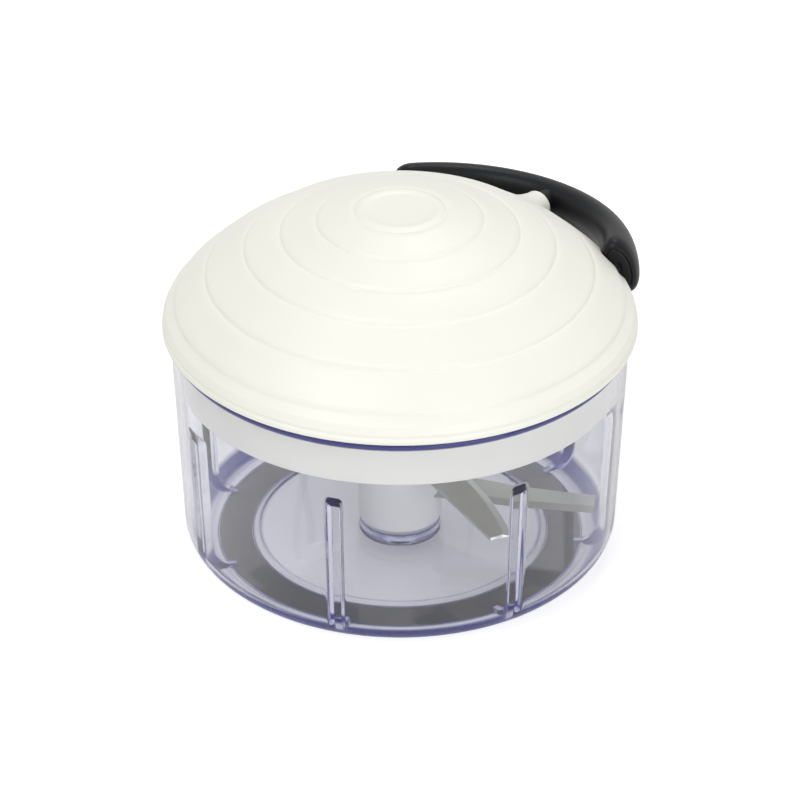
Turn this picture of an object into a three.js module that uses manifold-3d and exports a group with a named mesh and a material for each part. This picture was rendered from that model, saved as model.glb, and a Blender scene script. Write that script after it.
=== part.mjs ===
// Pull-cord food chopper: a clear bowl, a domed lid with a cord drum in it, and a blade unit on a pin.
// Millimetres, +Z up. The origin is on the bowl's axis, in the plane that the bowl stands on.
// The cord leaves the lid along +X.
import * as THREE from 'three';
import { mergeVertices } from 'three/addons/utils/BufferGeometryUtils.js';
import Module from 'manifold-3d';

const wasm = await Module();
wasm.setup();

// Fits and cuts shared by all pieces.
const fitGap = 0.3;
const cutOverrun = 1;
const mergeDistance = 0.0001;

// Steps round a turn, by the size of the piece.
const largeSteps = 48;
const mediumSteps = 36;
const smallSteps = 20;
const tinySteps = 12;

// Bowl.
const bowlHeight = 72.6;
const bowlMouthRadius = 67.9;
const bowlDraft = 2.6;
const bowlFilletRadius = 9;
const bowlWall = 1.9;
const bowlUndersideHeight = 0.8;
const floorThickness = 2.5;
const floorStep = 0.5;
const floorDiscInset = 2.3;
const rimBeadHeight = 1.6;
const rimBeadDepth = 0.7;
const innerFilletRadius = 6;
const filletSteps = 4;

// Ribs inside the bowl's wall, narrower at their inner face, with a slanted top and a curved foot.
// On one side of the bowl they lie a little further apart.
const ribAngles = [22.6, 65.5, 108.3, 151.5, 200.5, 248.7, 296.8, 339.7];
const ribBaseWidth = 5.2;
const ribFaceWidth = 2.5;
const ribDepth = 3.1;
const ribTopHeight = 52;
const ribSlant = 4;
const ribFootRadius = 7;

// Ring that the bowl stands on.
const ringInset = 1.3;
const ringWidth = 10;
const ringThickness = 1.7;

// Pin in the floor and the boss that carries the hub.
const pinRadius = 3;
const pinTopHeight = 26;
const pinSocketFloor = 1;
const pinChamfer = 0.8;
const pinBossRadius = 7;
const pinBossHeight = 4.1;

// Blade unit.
const hubRadius = 12.6;
const hubNeckRadius = 8.4;
const hubShoulderHeight = 51;
const hubShoulderRise = 3;
const hubEdgeRound = 0.8;
const hubTopGap = 1.3;
const bladeThickness = 1;
const bladeTipGap = 1;
const bladeRootDepth = 6.4;
const bladeBevelWidth = 2.4;
const bladeEdgeThickness = 0.25;
const lowerBladeHeight = 17;
const middleBladeHeight = 30.5;
const upperBladeHeight = 44;
const lowerBladeAngle = -65.2;
const middleBladeAngle = -111.7;
const upperBladeAngle = 91;
const lowerBladeWidth = 11.6;
const middleBladeWidth = 12.6;

// Outlines of the blades: along the reach, then across the width. The cutting edge is the first row of each.
const lowerCuttingEdgeShares = [[0.1, -0.44], [0.48, -0.44], [0.67, -0.43], [1, -0.32]];
const lowerBackEdgeShares = [[0.99, 0.4], [0.63, 0.42], [0.36, 0.55], [0.1, 0.55]];
const middleCuttingEdgeShares = [[0.1, 0.68], [0.46, 0.66], [0.7, 0.53], [0.91, 0.28], [0.99, 0.13]];
const middleBackEdgeShares = [[0.97, -0.36], [0.5, -0.28], [0.1, -0.22]];

// Lid: base plate with its skirt, and the dome over it.
const lidOverhang = 1.6;
const plateThickness = 2;
const plateRise = 0.5;
const flangeThickness = 1.8;
const coverWall = 2.3;
const coverRimDrop = 0.3;
const skirtDepth = 15.3;
const skirtWall = 2;
const skirtGap = 0.75;
const domeRise = 38.3;

// Soft steps of the dome, from its rim to the centre button: shares of the lid's radius and the dome's rise.
// Between two creases a step swells by its share of the largest swell.
const rimTopShare = 0.086;
const rimShares = [[0.985, 0.002], [1, 0.02], [1, rimTopShare], [0.981, 0.15]];
const lowerCreaseShares = [[0.947, 0.21], [0.815, 0.451], [0.651, 0.661]];
const upperCreaseShares = [[0.5, 0.785], [0.349, 0.896], [0.221, 0.99]];
const creaseShares = [...lowerCreaseShares, ...upperCreaseShares];
const buttonShares = [[0.208, 1], [0.19, 0.985], [0.1, 0.978]];
const buttonDishShare = 0.976;
const largestSwell = 0.84;
const swellShares = [0.74, 0.52, 1, 0.48, 0.48];
const swellPointsPerStep = 1;

// Nozzle for the cord, and its eyelet. It flares towards its root by shares of its length and of its flare.
const nozzleTipRadius = 4.6;
const nozzleFlare = 5;
const nozzleLength = 14.2;
const nozzleFlareShares = [[0, 1], [0.32, 0.66], [0.55, 0.36], [0.76, 0.13]];
const nozzleEdgeRound = 1.2;
const eyeletLength = 7.6;
const eyeletBoreRadius = 1.5;
const eyeletWall = 1.1;
const eyeletFlangeWidth = 0.8;
const eyeletFlangeThickness = 0.8;
const nozzleThroatRadius = 4.2;

// Cord.
const cordRadius = 0.9;
const cordTurns = 3;
const cordPitch = 2.6;
const cordSides = 6;
const cordStepsPerTurn = 24;

// Drive shaft, its bush and its collar.
const shaftRadius = 4.5;
const bitRadius = 4.3;
const bitLength = 9;
const bitSides = 6;
const bushWall = 1.6;
const bushFlangeWidth = 1.8;
const bushFlangeThickness = 1;
const collarWall = 2;
const collarDepth = 5.6;
const spigotRadius = 3.2;

// One-way clutch.
const ratchetTipRadius = 10.4;
const ratchetToothDepth = 1.6;
const ratchetTeeth = 12;
const ratchetThickness = 3.6;
const landHeight = 1.2;
const landInset = 2;
const pawlCount = 2;
const pawlPivotRadius = 16;
const pawlPegRadius = 1.4;
const pawlEyeWall = 1.3;
const pawlTipDepth = 2;
const pawlTipAngle = 36;
const pawlTipGap = 0.6;

// Drum.
const drumCoreRadius = 18;
const drumCoreWall = 1.7;
const drumFlangeDepth = 6;
const drumWebThickness = 2;
const drumGrooveHeight = 10;
const drumFlangeThickness = 1.4;
const drumClearance = 0.6;

// Recoil spring and the sleeve that holds its inner end.
const sleeveWall = 1.6;
const springThickness = 0.5;
const springHeight = 8;
const springTurns = 6;
const springStepsPerTurn = 20;
const springEndGap = 0.7;
const springHookDepth = 0.9;

// Mechanism cover with its posts and screws.
const mechanismCoverThickness = 2;
const postCount = 3;
const postRadius = 2.8;
const postClearance = 0.7;
const firstPostAngle = 30;
const coverEdgeWidth = 0.6;

// Screws.
const screwShankRadius = 1.1;
const screwHeadRadius = 2.5;
const screwHeadHeight = 1.7;
const screwHeadChamfer = 0.5;
const screwEngagement = 8;
const lidScrewCount = 3;
const lidScrewInset = 10.8;
const firstLidScrewAngle = 60;
const coverBossRadius = 3.6;

// Handle: a bow whose ends nest in shallow reliefs of the dome. It is thicker at its ends, and its underside
// is fuller by the belly and, towards the dome, by the fullness.
const bowRadius = 46.8;
const bowHalfAngle = 63.8;
const bowStandoff = 3.1;
const bowMiddleDrop = 1.8;
const bowEndRise = 1.8;
const bowWidth = 10;
const bowHeight = 13.2;
const bowEndSwellShare = 0.36;
const bowBelly = 2;
const bowInnerFullness = 0.14;
const bowLean = 21.5;
const bowEndRound = 6.3;
const bowEndSteps = 4;
const bowLengthSteps = 14;
const handleDomeGap = 0.5;
const reliefDepth = 3;
const reliefWall = 1.4;
const reliefLedge = 0.8;
const knotWall = 2.4;
const knotRadius = 2.4;
const plugRadius = 3;

// Worked out: bowl.
const bowlRimRadius = bowlMouthRadius + rimBeadDepth;
const bowlFootRadius = bowlMouthRadius - bowlDraft;
const bowlFlatRadius = bowlFootRadius - bowlFilletRadius;
const filletTopHeight = bowlUndersideHeight + bowlFilletRadius;
const floorTopHeight = bowlUndersideHeight + floorThickness;
const discTopHeight = floorTopHeight - floorStep;
const bossTopHeight = discTopHeight + pinBossHeight;
const ringOuterRadius = bowlFlatRadius - ringInset;
const ringInnerRadius = ringOuterRadius - ringWidth;
const floorDiscRadius = ringInnerRadius - floorDiscInset;
const ringGrooveInner = ringInnerRadius - fitGap;
const ringGrooveOuter = ringOuterRadius + fitGap;
const beadLowHeight = bowlHeight - rimBeadHeight;

// Outer radius of the bowl's wall at a height above the fillet.
function bowlOuterAt(height) {
  const share = (height - filletTopHeight) / (beadLowHeight - filletTopHeight);
  return bowlFootRadius + (bowlMouthRadius - bowlFootRadius) * share;
}

const bladeReach = bowlOuterAt(lowerBladeHeight) - bowlWall - ribDepth - bladeTipGap;
const hubLowHeight = bossTopHeight + fitGap;
const pinSocketHeight = bowlUndersideHeight + pinSocketFloor;

// Worked out: lid.
const seatHeight = bowlHeight + fitGap;
const plateTopHeight = seatHeight + plateRise;
const plateLowHeight = plateTopHeight - plateThickness;
const flangeTopHeight = seatHeight + flangeThickness;
const skirtLowHeight = seatHeight - skirtDepth;
const skirtRadius = bowlOuterAt(skirtLowHeight) - bowlWall - skirtGap;
const skirtInnerRadius = skirtRadius - skirtWall;
const lidScrewCircleRadius = skirtInnerRadius - lidScrewInset;
const lidRadius = bowlRimRadius + lidOverhang;
const coverLowHeight = seatHeight + coverRimDrop;
const coverInnerRimRadius = lidRadius - coverWall;
const flangeRadius = coverInnerRimRadius - fitGap;
const apexHeight = coverLowHeight + domeRise;

// Worked out: clutch and drum, upwards from the plate.
const bushRadius = shaftRadius + fitGap + bushWall;
const collarLowHeight = plateLowHeight - collarDepth;
const landTopHeight = plateTopHeight + landHeight;
const ratchetLowHeight = plateTopHeight + fitGap + bushFlangeThickness + fitGap;
const ratchetHighHeight = ratchetLowHeight + ratchetThickness;
const webLowHeight = ratchetHighHeight + drumClearance;
const webHighHeight = webLowHeight + drumWebThickness;
const grooveHighHeight = webHighHeight + drumGrooveHeight;
const drumTopHeight = grooveHighHeight + drumFlangeThickness;
const drumFlangeRadius = drumCoreRadius + drumFlangeDepth;
const mechanismCoverLow = drumTopHeight + drumClearance;
const mechanismCoverHigh = mechanismCoverLow + mechanismCoverThickness;
const sleeveInnerRadius = spigotRadius + fitGap;
const sleeveRadius = sleeveInnerRadius + sleeveWall;
const postCircleRadius = drumFlangeRadius + postClearance + postRadius;

// Worked out: the cord's way out of the drum. The nozzle ends level with the lid's rim.
const windingRadius = drumCoreRadius + fitGap + cordRadius;
const cordHeight = webHighHeight + fitGap + cordRadius;
const nozzleReach = lidRadius;
const eyeletStart = nozzleReach - eyeletLength;
const leaveAngle = -Math.acos(windingRadius / eyeletStart);
const hubTopHeight = collarLowHeight - hubTopGap;
const bitLowHeight = hubTopHeight - bitLength;

// Worked out: the handle's bow and its reliefs.
const bowInnerX = nozzleReach + bowStandoff;
const bowOuterX = bowInnerX + bowWidth;
const bowCentreX = bowInnerX + bowWidth / 2 - bowRadius;
const bowMiddleHeight = cordHeight - bowMiddleDrop;
const flangeRoomHeight = flangeTopHeight + fitGap;
const reliefLowHeight = flangeRoomHeight + reliefLedge;
const seatRadius = eyeletBoreRadius + eyeletWall + eyeletFlangeWidth;
const recessStart = bowInnerX + knotWall;
const knotCentreX = recessStart + fitGap + knotRadius;

// Worked out: screws.
const screwHoleRadius = screwShankRadius + fitGap;

// Solid helpers.

// Merges the vertices of a three.js geometry, drops collapsed triangles and turns the faces out.
function closedIndex(geometry) {
  const bare = geometry.clone();
  for (const name of Object.keys(bare.attributes)) {
    if (name !== 'position') bare.deleteAttribute(name);
  }
  const merged = mergeVertices(bare, mergeDistance);
  const source = merged.index.array;
  const index = [];
  for (let i = 0; i < source.length; i += 3) {
    const [a, b, c] = [source[i], source[i + 1], source[i + 2]];
    if (a !== b && b !== c && c !== a) index.push(a, b, c);
  }
  const position = merged.attributes.position;
  const corners = [new THREE.Vector3(), new THREE.Vector3(), new THREE.Vector3()];
  let volume = 0;
  for (let i = 0; i < index.length; i += 3) {
    corners.forEach((corner, k) => corner.fromBufferAttribute(position, index[i + k]));
    volume += corners[0].dot(corners[1].clone().cross(corners[2]));
  }
  if (volume < 0) index.reverse();
  return { vertices: position.array, index };
}

function solid(geometry) {
  const { vertices, index } = closedIndex(geometry);
  const mesh = new wasm.Mesh({
    numProp: 3,
    vertProperties: new Float32Array(vertices),
    triVerts: new Uint32Array(index),
  });
  return new wasm.Manifold(mesh);
}

function geometryOf(body) {
  const mesh = body.getMesh();
  const geometry = new THREE.BufferGeometry();
  geometry.setAttribute('position', new THREE.BufferAttribute(new Float32Array(mesh.vertProperties), 3));
  geometry.setIndex(Array.from(mesh.triVerts));
  geometry.computeVertexNormals();
  return geometry;
}

// Shape helpers.

// A body turned about Z. Its outline is a list of radius and height.
function turned(outline, steps) {
  const points = outline.map(([radius, height]) => new THREE.Vector2(radius, height));
  if (outline[0][0] > 0) points.push(points[0].clone());
  return new THREE.LatheGeometry(points, steps).rotateX(Math.PI / 2);
}

// The same, turned about X.
function turnedAboutX(outline, steps) {
  return turned(outline, steps).rotateY(Math.PI / 2);
}

function rod(radius, low, high, steps) {
  return turned([[0, low], [radius, low], [radius, high], [0, high]], steps);
}

function shapeOf(points) {
  return new THREE.Shape(points.map(([x, y]) => new THREE.Vector2(x, y)));
}

function slab(shape, low, high) {
  const options = { depth: high - low, bevelEnabled: false, curveSegments: tinySteps };
  return new THREE.ExtrudeGeometry(shape, options).translate(0, 0, low);
}

// A web in a plane through the axis. Its outline is a list of radius and height.
function radialWeb(outline, width) {
  return slab(shapeOf(outline), -width / 2, width / 2).rotateX(Math.PI / 2);
}

function polar(radius, angle) {
  return [radius * Math.cos(angle), radius * Math.sin(angle)];
}

function radians(degrees) {
  return THREE.MathUtils.degToRad(degrees);
}

// Points of an arc, both ends left out.
function arcBetween(centre, radius, from, to, count) {
  const points = [];
  for (let i = 1; i < count; i += 1) {
    const [x, y] = polar(radius, from + ((to - from) * i) / count);
    points.push([centre[0] + x, centre[1] + y]);
  }
  return points;
}

// Moves each point of an open outline sideways, to the left of its direction if the distance is positive.
function offsetOutline(outline, distance) {
  return outline.map(([x, y], i) => {
    const [ax, ay] = outline[Math.max(i - 1, 0)];
    const [bx, by] = outline[Math.min(i + 1, outline.length - 1)];
    const length = Math.hypot(bx - ax, by - ay);
    return [x - ((by - ay) / length) * distance, y + ((bx - ax) / length) * distance];
  });
}

// Angles of pieces spaced evenly round the axis, in radians.
function anglesRound(count, firstAngle) {
  return Array.from({ length: count }, (_, i) => radians(firstAngle) + (2 * Math.PI * i) / count);
}

const chopper = new THREE.Group();

function addPiece(name, geometry, material) {
  const mesh = new THREE.Mesh(geometry, material);
  mesh.name = name;
  chopper.add(mesh);
  return mesh;
}

const clearPlastic = () => new THREE.MeshStandardMaterial({
  color: 0xd5d6ee, roughness: 0.08, metalness: 0, transparent: true, opacity: 0.35,
});
const whitePlastic = () => new THREE.MeshStandardMaterial({ color: 0xf3f3ea, roughness: 0.35, metalness: 0 });
const hubPlastic = () => new THREE.MeshStandardMaterial({ color: 0xe2e4e2, roughness: 0.4, metalness: 0 });
const blackPlastic = () => new THREE.MeshStandardMaterial({ color: 0x2b2d30, roughness: 0.45, metalness: 0 });
const innerPlastic = () => new THREE.MeshStandardMaterial({ color: 0xd8d8d2, roughness: 0.5, metalness: 0 });
const greyRubber = () => new THREE.MeshStandardMaterial({ color: 0x6e6e72, roughness: 0.8, metalness: 0 });
const bladeSteel = () => new THREE.MeshStandardMaterial({ color: 0x9ba098, roughness: 0.3, metalness: 1 });
const brightSteel = () => new THREE.MeshStandardMaterial({ color: 0xc0c2c4, roughness: 0.25, metalness: 1 });
const whiteCord = () => new THREE.MeshStandardMaterial({ color: 0xe8e6dc, roughness: 0.9, metalness: 0 });

// Bowl: turned shell with ribs added inside.

function bowlShell() {
  const centre = [bowlFlatRadius, filletTopHeight];
  const fillet = arcBetween(centre, bowlFilletRadius, -Math.PI / 2, 0, filletSteps);
  const innerFoot = bowlFootRadius - bowlWall;
  const innerCentre = [innerFoot - innerFilletRadius, floorTopHeight + innerFilletRadius];
  const innerFillet = arcBetween(innerCentre, innerFilletRadius, 0, -Math.PI / 2, filletSteps);
  const ringGrooveTop = ringThickness + fitGap;
  const outline = [
    [0, bowlUndersideHeight],
    [ringGrooveInner, bowlUndersideHeight],
    [ringGrooveInner, ringGrooveTop],
    [ringGrooveOuter, ringGrooveTop],
    [ringGrooveOuter, bowlUndersideHeight],
    [bowlFlatRadius, bowlUndersideHeight],
    ...fillet,
    [bowlFootRadius, filletTopHeight],
    [bowlMouthRadius, beadLowHeight],
    [bowlRimRadius, beadLowHeight + rimBeadDepth],
    [bowlRimRadius, bowlHeight],
    [bowlMouthRadius - bowlWall, bowlHeight],
    [innerFoot, innerCentre[1]],
    ...innerFillet,
    [innerCentre[0], floorTopHeight],
    [floorDiscRadius, floorTopHeight],
    [floorDiscRadius - floorStep, discTopHeight],
    [pinBossRadius, discTopHeight],
    [pinBossRadius, bossTopHeight],
    [pinRadius + fitGap, bossTopHeight],
    [pinRadius + fitGap, pinSocketHeight],
    [0, pinSocketHeight],
  ];
  return solid(turned(outline, largeSteps));
}

// A rib on the +X side, sunk into the wall and the floor.
function ribSolid() {
  const inWall = bowlWall / 2;
  const innerAt = (height) => bowlOuterAt(height) - bowlWall;
  const faceFoot = innerAt(filletTopHeight) - ribDepth;
  const footCentre = [faceFoot - ribFootRadius, floorTopHeight + ribFootRadius];
  const slantLow = ribTopHeight - ribSlant;
  const centre = [bowlFlatRadius, filletTopHeight];
  const profile = [
    [footCentre[0], floorTopHeight - inWall],
    ...arcBetween(centre, bowlFilletRadius - inWall, -Math.PI / 2, 0, filletSteps),
    [bowlFootRadius - inWall, filletTopHeight],
    [bowlOuterAt(ribTopHeight) - inWall, ribTopHeight],
    [innerAt(ribTopHeight), ribTopHeight],
    [innerAt(slantLow) - ribDepth, slantLow],
    [faceFoot, footCentre[1]],
    ...arcBetween(footCentre, ribFootRadius, 0, -Math.PI / 2, filletSteps),
    [footCentre[0], floorTopHeight],
  ];
  const face = ribFaceWidth / 2;
  const base = ribBaseWidth / 2;
  const plan = shapeOf([
    [footCentre[0] - cutOverrun, -face],
    [faceFoot, -face],
    [faceFoot + ribDepth, -base],
    [bowlRimRadius, -base],
    [bowlRimRadius, base],
    [faceFoot + ribDepth, base],
    [faceFoot, face],
    [footCentre[0] - cutOverrun, face],
  ]);
  return solid(radialWeb(profile, ribBaseWidth + cutOverrun)).intersect(solid(slab(plan, 0, bowlHeight)));
}

function makeBowl() {
  let body = bowlShell();
  const rib = ribSolid();
  for (const angle of ribAngles) {
    body = body.add(rib.rotate([0, 0, angle]));
  }
  addPiece('bowl', geometryOf(body), clearPlastic());
}

function makeStand() {
  const ring = turned([
    [ringInnerRadius, 0],
    [ringOuterRadius, 0],
    [ringOuterRadius, ringThickness],
    [ringInnerRadius, ringThickness],
  ], largeSteps);
  addPiece('anti_slip_ring', ring, greyRubber());
  const pin = turned([
    [0, pinSocketHeight + fitGap],
    [pinRadius, pinSocketHeight + fitGap],
    [pinRadius, pinTopHeight - pinChamfer],
    [pinRadius - pinChamfer, pinTopHeight],
    [0, pinTopHeight],
  ], smallSteps);
  addPiece('center_pin', pin, brightSteel());
}

// Blade unit.

// Outline of a blade: its cutting edge, then its back.
function bladeOutline(edgeShares, backShares, width) {
  const place = ([along, across]) => [along * bladeReach, across * width];
  return { edge: edgeShares.map(place), back: backShares.map(place) };
}

// Wedge that grinds one straight stretch of a cutting edge, on the blade's upper face.
function bevelWedge(from, to, side, high) {
  const length = Math.hypot(to[0] - from[0], to[1] - from[1]);
  const overrun = bladeBevelWidth;
  const section = shapeOf([
    [-cutOverrun, bladeEdgeThickness - bladeThickness],
    [0, bladeEdgeThickness - bladeThickness],
    [bladeBevelWidth, 0],
    [bladeBevelWidth, cutOverrun],
    [-cutOverrun, cutOverrun],
  ]);
  const wedge = slab(section, -overrun, length + overrun);
  wedge.rotateX(Math.PI / 2).rotateZ(Math.PI / 2).translate(0, 0, high);
  if (side < 0) wedge.scale(1, -1, 1);
  const angle = Math.atan2(to[1] - from[1], to[0] - from[0]);
  wedge.rotateZ(angle).translate(from[0], from[1], 0);
  return wedge;
}

function makeBlade(name, outline, side, low, angle) {
  const high = low + bladeThickness;
  const shape = shapeOf([...outline.edge, ...outline.back]);
  const turn = [0, 0, angle];
  let blade = solid(slab(shape, low, high));
  for (let i = 1; i < outline.edge.length; i += 1) {
    blade = blade.subtract(solid(bevelWedge(outline.edge[i - 1], outline.edge[i], side, high)));
  }
  const socket = solid(rod(hubRadius - bladeRootDepth, low - cutOverrun, high + cutOverrun, mediumSteps));
  addPiece(name, geometryOf(blade.subtract(socket).rotate(turn)), bladeSteel());
  const grown = shapeOf([...outline.edge, ...outline.back].map(([x, y]) => [x, y + Math.sign(y) * fitGap]));
  return solid(slab(grown, low - fitGap, high + fitGap)).rotate(turn);
}

function makeBladeUnit() {
  const lower = bladeOutline(lowerCuttingEdgeShares, lowerBackEdgeShares, lowerBladeWidth);
  const middle = bladeOutline(middleCuttingEdgeShares, middleBackEdgeShares, middleBladeWidth);
  const slots = [
    makeBlade('lower_blade', lower, 1, lowerBladeHeight, lowerBladeAngle),
    makeBlade('middle_blade', middle, -1, middleBladeHeight, middleBladeAngle),
    makeBlade('upper_blade', middle, -1, upperBladeHeight, upperBladeAngle),
  ];
  const boreRadius = pinRadius + fitGap;
  const neckLow = hubShoulderHeight + hubShoulderRise;
  let hub = solid(turned([
    [boreRadius, hubLowHeight],
    [hubRadius - hubEdgeRound, hubLowHeight],
    [hubRadius, hubLowHeight + hubEdgeRound],
    [hubRadius, hubShoulderHeight],
    [hubNeckRadius, neckLow],
    [hubNeckRadius, hubTopHeight],
    [0, hubTopHeight],
    [0, pinTopHeight + fitGap],
    [boreRadius, pinTopHeight + fitGap],
    [boreRadius, hubLowHeight],
  ], mediumSteps));
  const core = solid(rod(hubRadius - bladeRootDepth - fitGap, hubLowHeight, hubTopHeight, mediumSteps));
  for (const slot of slots) {
    hub = hub.subtract(slot.subtract(core));
  }
  const socketGap = fitGap / Math.cos(Math.PI / bitSides);
  const socket = rod(bitRadius + socketGap, bitLowHeight - fitGap, hubTopHeight + cutOverrun, bitSides);
  addPiece('blade_hub', geometryOf(hub.subtract(solid(socket))), hubPlastic());
}

// Lid.

// Outer outline of the dome, from its rim to the axis.
function domeOutline() {
  const place = ([across, up]) => [across * lidRadius, coverLowHeight + up * domeRise];
  const creases = creaseShares.map(place);
  const points = rimShares.map(place);
  creases.forEach((crease, i) => {
    points.push(crease);
    const next = creases[i + 1];
    if (!next) return;
    const length = Math.hypot(next[0] - crease[0], next[1] - crease[1]);
    const normal = [(next[1] - crease[1]) / length, (crease[0] - next[0]) / length];
    for (let k = 1; k <= swellPointsPerStep; k += 1) {
      const t = k / (swellPointsPerStep + 1);
      const swell = 4 * largestSwell * swellShares[i] * t * (1 - t);
      const x = crease[0] + (next[0] - crease[0]) * t + normal[0] * swell;
      const y = crease[1] + (next[1] - crease[1]) * t + normal[1] * swell;
      points.push([x, y]);
    }
  });
  points.push(...buttonShares.map(place));
  points.push(place([0, buttonDishShare]));
  return points;
}

// The dome's outline through its creases, moved out along its normal by a distance.
function domeEnvelope(distance) {
  const place = ([across, up]) => [across * lidRadius, coverLowHeight + up * domeRise];
  const rimTop = [lidRadius, coverLowHeight + rimTopShare * domeRise];
  const outline = offsetOutline([rimTop, ...creaseShares.map(place)], -distance);
  outline[0][0] = lidRadius + distance;
  return outline;
}

function filledDome() {
  return solid(turned([[0, coverLowHeight], ...domeOutline()], largeSteps));
}

// The dome with its outside moved in by a depth, down to a height.
function shrunkDome(depth, low) {
  const inner = domeEnvelope(-depth);
  return solid(turned([
    [0, low],
    [lidRadius - depth, low],
    ...inner,
    [0, apexHeight - depth - fitGap],
  ], largeSteps));
}

// The nozzle, cut off below so that its root stays clear of the base plate's flange.
function nozzleSolid() {
  const root = nozzleReach - nozzleLength;
  const flare = nozzleFlareShares.map(
    ([along, out]) => [nozzleTipRadius + nozzleFlare * out, root + nozzleLength * along],
  );
  const nozzle = solid(turnedAboutX([
    [0, root],
    ...flare,
    [nozzleTipRadius, nozzleReach - nozzleEdgeRound],
    [nozzleTipRadius - nozzleEdgeRound / 2, nozzleReach - nozzleEdgeRound / 4],
    [nozzleTipRadius - nozzleEdgeRound, nozzleReach],
    [0, nozzleReach],
  ], mediumSteps).translate(0, 0, cordHeight));
  return nozzle.subtract(solid(rod(lidRadius, coverLowHeight - cordHeight, flangeRoomHeight, mediumSteps)));
}

// The cover's hollow. Its wall is thicker behind the reliefs for the handle, above the base plate's flange.
function coverHollow() {
  const low = coverLowHeight - cutOverrun;
  const inward = shrunkDome(reliefDepth + reliefWall, low);
  const behindReliefs = bentBow(handleDomeGap + reliefWall).subtract(inward);
  const flangeRoom = solid(rod(coverInnerRimRadius, low, flangeRoomHeight, largeSteps));
  return shrunkDome(coverWall, low).subtract(behindReliefs).add(flangeRoom);
}

// Room for the handle's ends in the dome: the bow grown by its gap, no deeper than the relief.
function reliefSolid() {
  const kept = shrunkDome(reliefDepth, coverLowHeight - bowHeight);
  const ledge = solid(rod(lidRadius + bowWidth, coverLowHeight - bowHeight, reliefLowHeight, tinySteps));
  return bentBow(handleDomeGap).subtract(kept).subtract(ledge);
}

function makeLidCover() {
  const full = filledDome();
  let cover = full.subtract(coverHollow()).add(nozzleSolid()).subtract(reliefSolid());
  const bossLow = plateTopHeight + fitGap;
  for (const angle of anglesRound(lidScrewCount, firstLidScrewAngle)) {
    const [x, y] = polar(lidScrewCircleRadius, angle);
    const boss = solid(rod(coverBossRadius, bossLow, apexHeight, smallSteps).translate(x, y, 0));
    const hole = rod(screwHoleRadius, bossLow - cutOverrun, bossLow + screwEngagement + fitGap, tinySteps);
    cover = cover.add(boss.intersect(full)).subtract(solid(hole.translate(x, y, 0)));
  }
  const eyeletRadius = eyeletBoreRadius + eyeletWall;
  const flangeRadiusHere = eyeletRadius + eyeletFlangeWidth + fitGap;
  const flangeStart = nozzleReach - eyeletFlangeThickness - fitGap;
  const bore = turnedAboutX([
    [0, eyeletStart - nozzleLength],
    [nozzleThroatRadius, eyeletStart - nozzleLength],
    [nozzleThroatRadius, eyeletStart - fitGap],
    [eyeletRadius + fitGap, eyeletStart - fitGap],
    [eyeletRadius + fitGap, flangeStart],
    [flangeRadiusHere, flangeStart],
    [flangeRadiusHere, nozzleReach + cutOverrun],
    [0, nozzleReach + cutOverrun],
  ], smallSteps).translate(0, 0, cordHeight);
  addPiece('lid_cover', geometryOf(cover.subtract(solid(bore))), whitePlastic());
}

function makeEyelet() {
  const outer = eyeletBoreRadius + eyeletWall;
  const flangeStart = nozzleReach - eyeletFlangeThickness;
  const eyelet = turnedAboutX([
    [eyeletBoreRadius, eyeletStart],
    [outer, eyeletStart],
    [outer, flangeStart],
    [outer + eyeletFlangeWidth, flangeStart],
    [outer + eyeletFlangeWidth, nozzleReach],
    [eyeletBoreRadius, nozzleReach],
  ], smallSteps).translate(0, 0, cordHeight);
  addPiece('cord_eyelet', eyelet, brightSteel());
}

function makeLidBase() {
  const collarInner = bushRadius + fitGap;
  const landInner = ratchetTipRadius + landInset;
  const landOuter = pawlPivotRadius + landInset + pawlEyeWall;
  let base = solid(turned([
    [collarInner, collarLowHeight],
    [collarInner + collarWall, collarLowHeight],
    [collarInner + collarWall, plateLowHeight],
    [skirtInnerRadius, plateLowHeight],
    [skirtInnerRadius, skirtLowHeight],
    [skirtRadius, skirtLowHeight],
    [skirtRadius, seatHeight],
    [flangeRadius, seatHeight],
    [flangeRadius, flangeTopHeight],
    [skirtInnerRadius, flangeTopHeight],
    [skirtInnerRadius - plateThickness, plateTopHeight],
    [landOuter, plateTopHeight],
    [landOuter, landTopHeight],
    [landInner, landTopHeight],
    [landInner, plateTopHeight],
    [collarInner, plateTopHeight],
  ], largeSteps));
  const postTop = mechanismCoverLow - fitGap;
  for (const angle of anglesRound(postCount, firstPostAngle)) {
    const [x, y] = polar(postCircleRadius, angle);
    const post = rod(postRadius, plateLowHeight + plateThickness / 2, postTop, smallSteps).translate(x, y, 0);
    const holeLow = postTop - screwEngagement - fitGap;
    const hole = rod(screwHoleRadius, holeLow, postTop + cutOverrun, tinySteps).translate(x, y, 0);
    base = base.add(solid(post)).subtract(solid(hole));
  }
  for (const angle of anglesRound(lidScrewCount, firstLidScrewAngle)) {
    const [x, y] = polar(lidScrewCircleRadius, angle);
    const hole = rod(screwHoleRadius, plateLowHeight - cutOverrun, plateTopHeight + cutOverrun, tinySteps);
    base = base.subtract(solid(hole.translate(x, y, 0)));
  }
  addPiece('lid_base', geometryOf(base), whitePlastic());
}

// A screw with its head's seat at height zero and its shank down -Z.
function screw(length) {
  return turned([
    [0, -length],
    [screwShankRadius, -length],
    [screwShankRadius, 0],
    [screwHeadRadius, 0],
    [screwHeadRadius, screwHeadHeight - screwHeadChamfer],
    [screwHeadRadius - screwHeadChamfer, screwHeadHeight],
    [0, screwHeadHeight],
  ], tinySteps);
}

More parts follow.
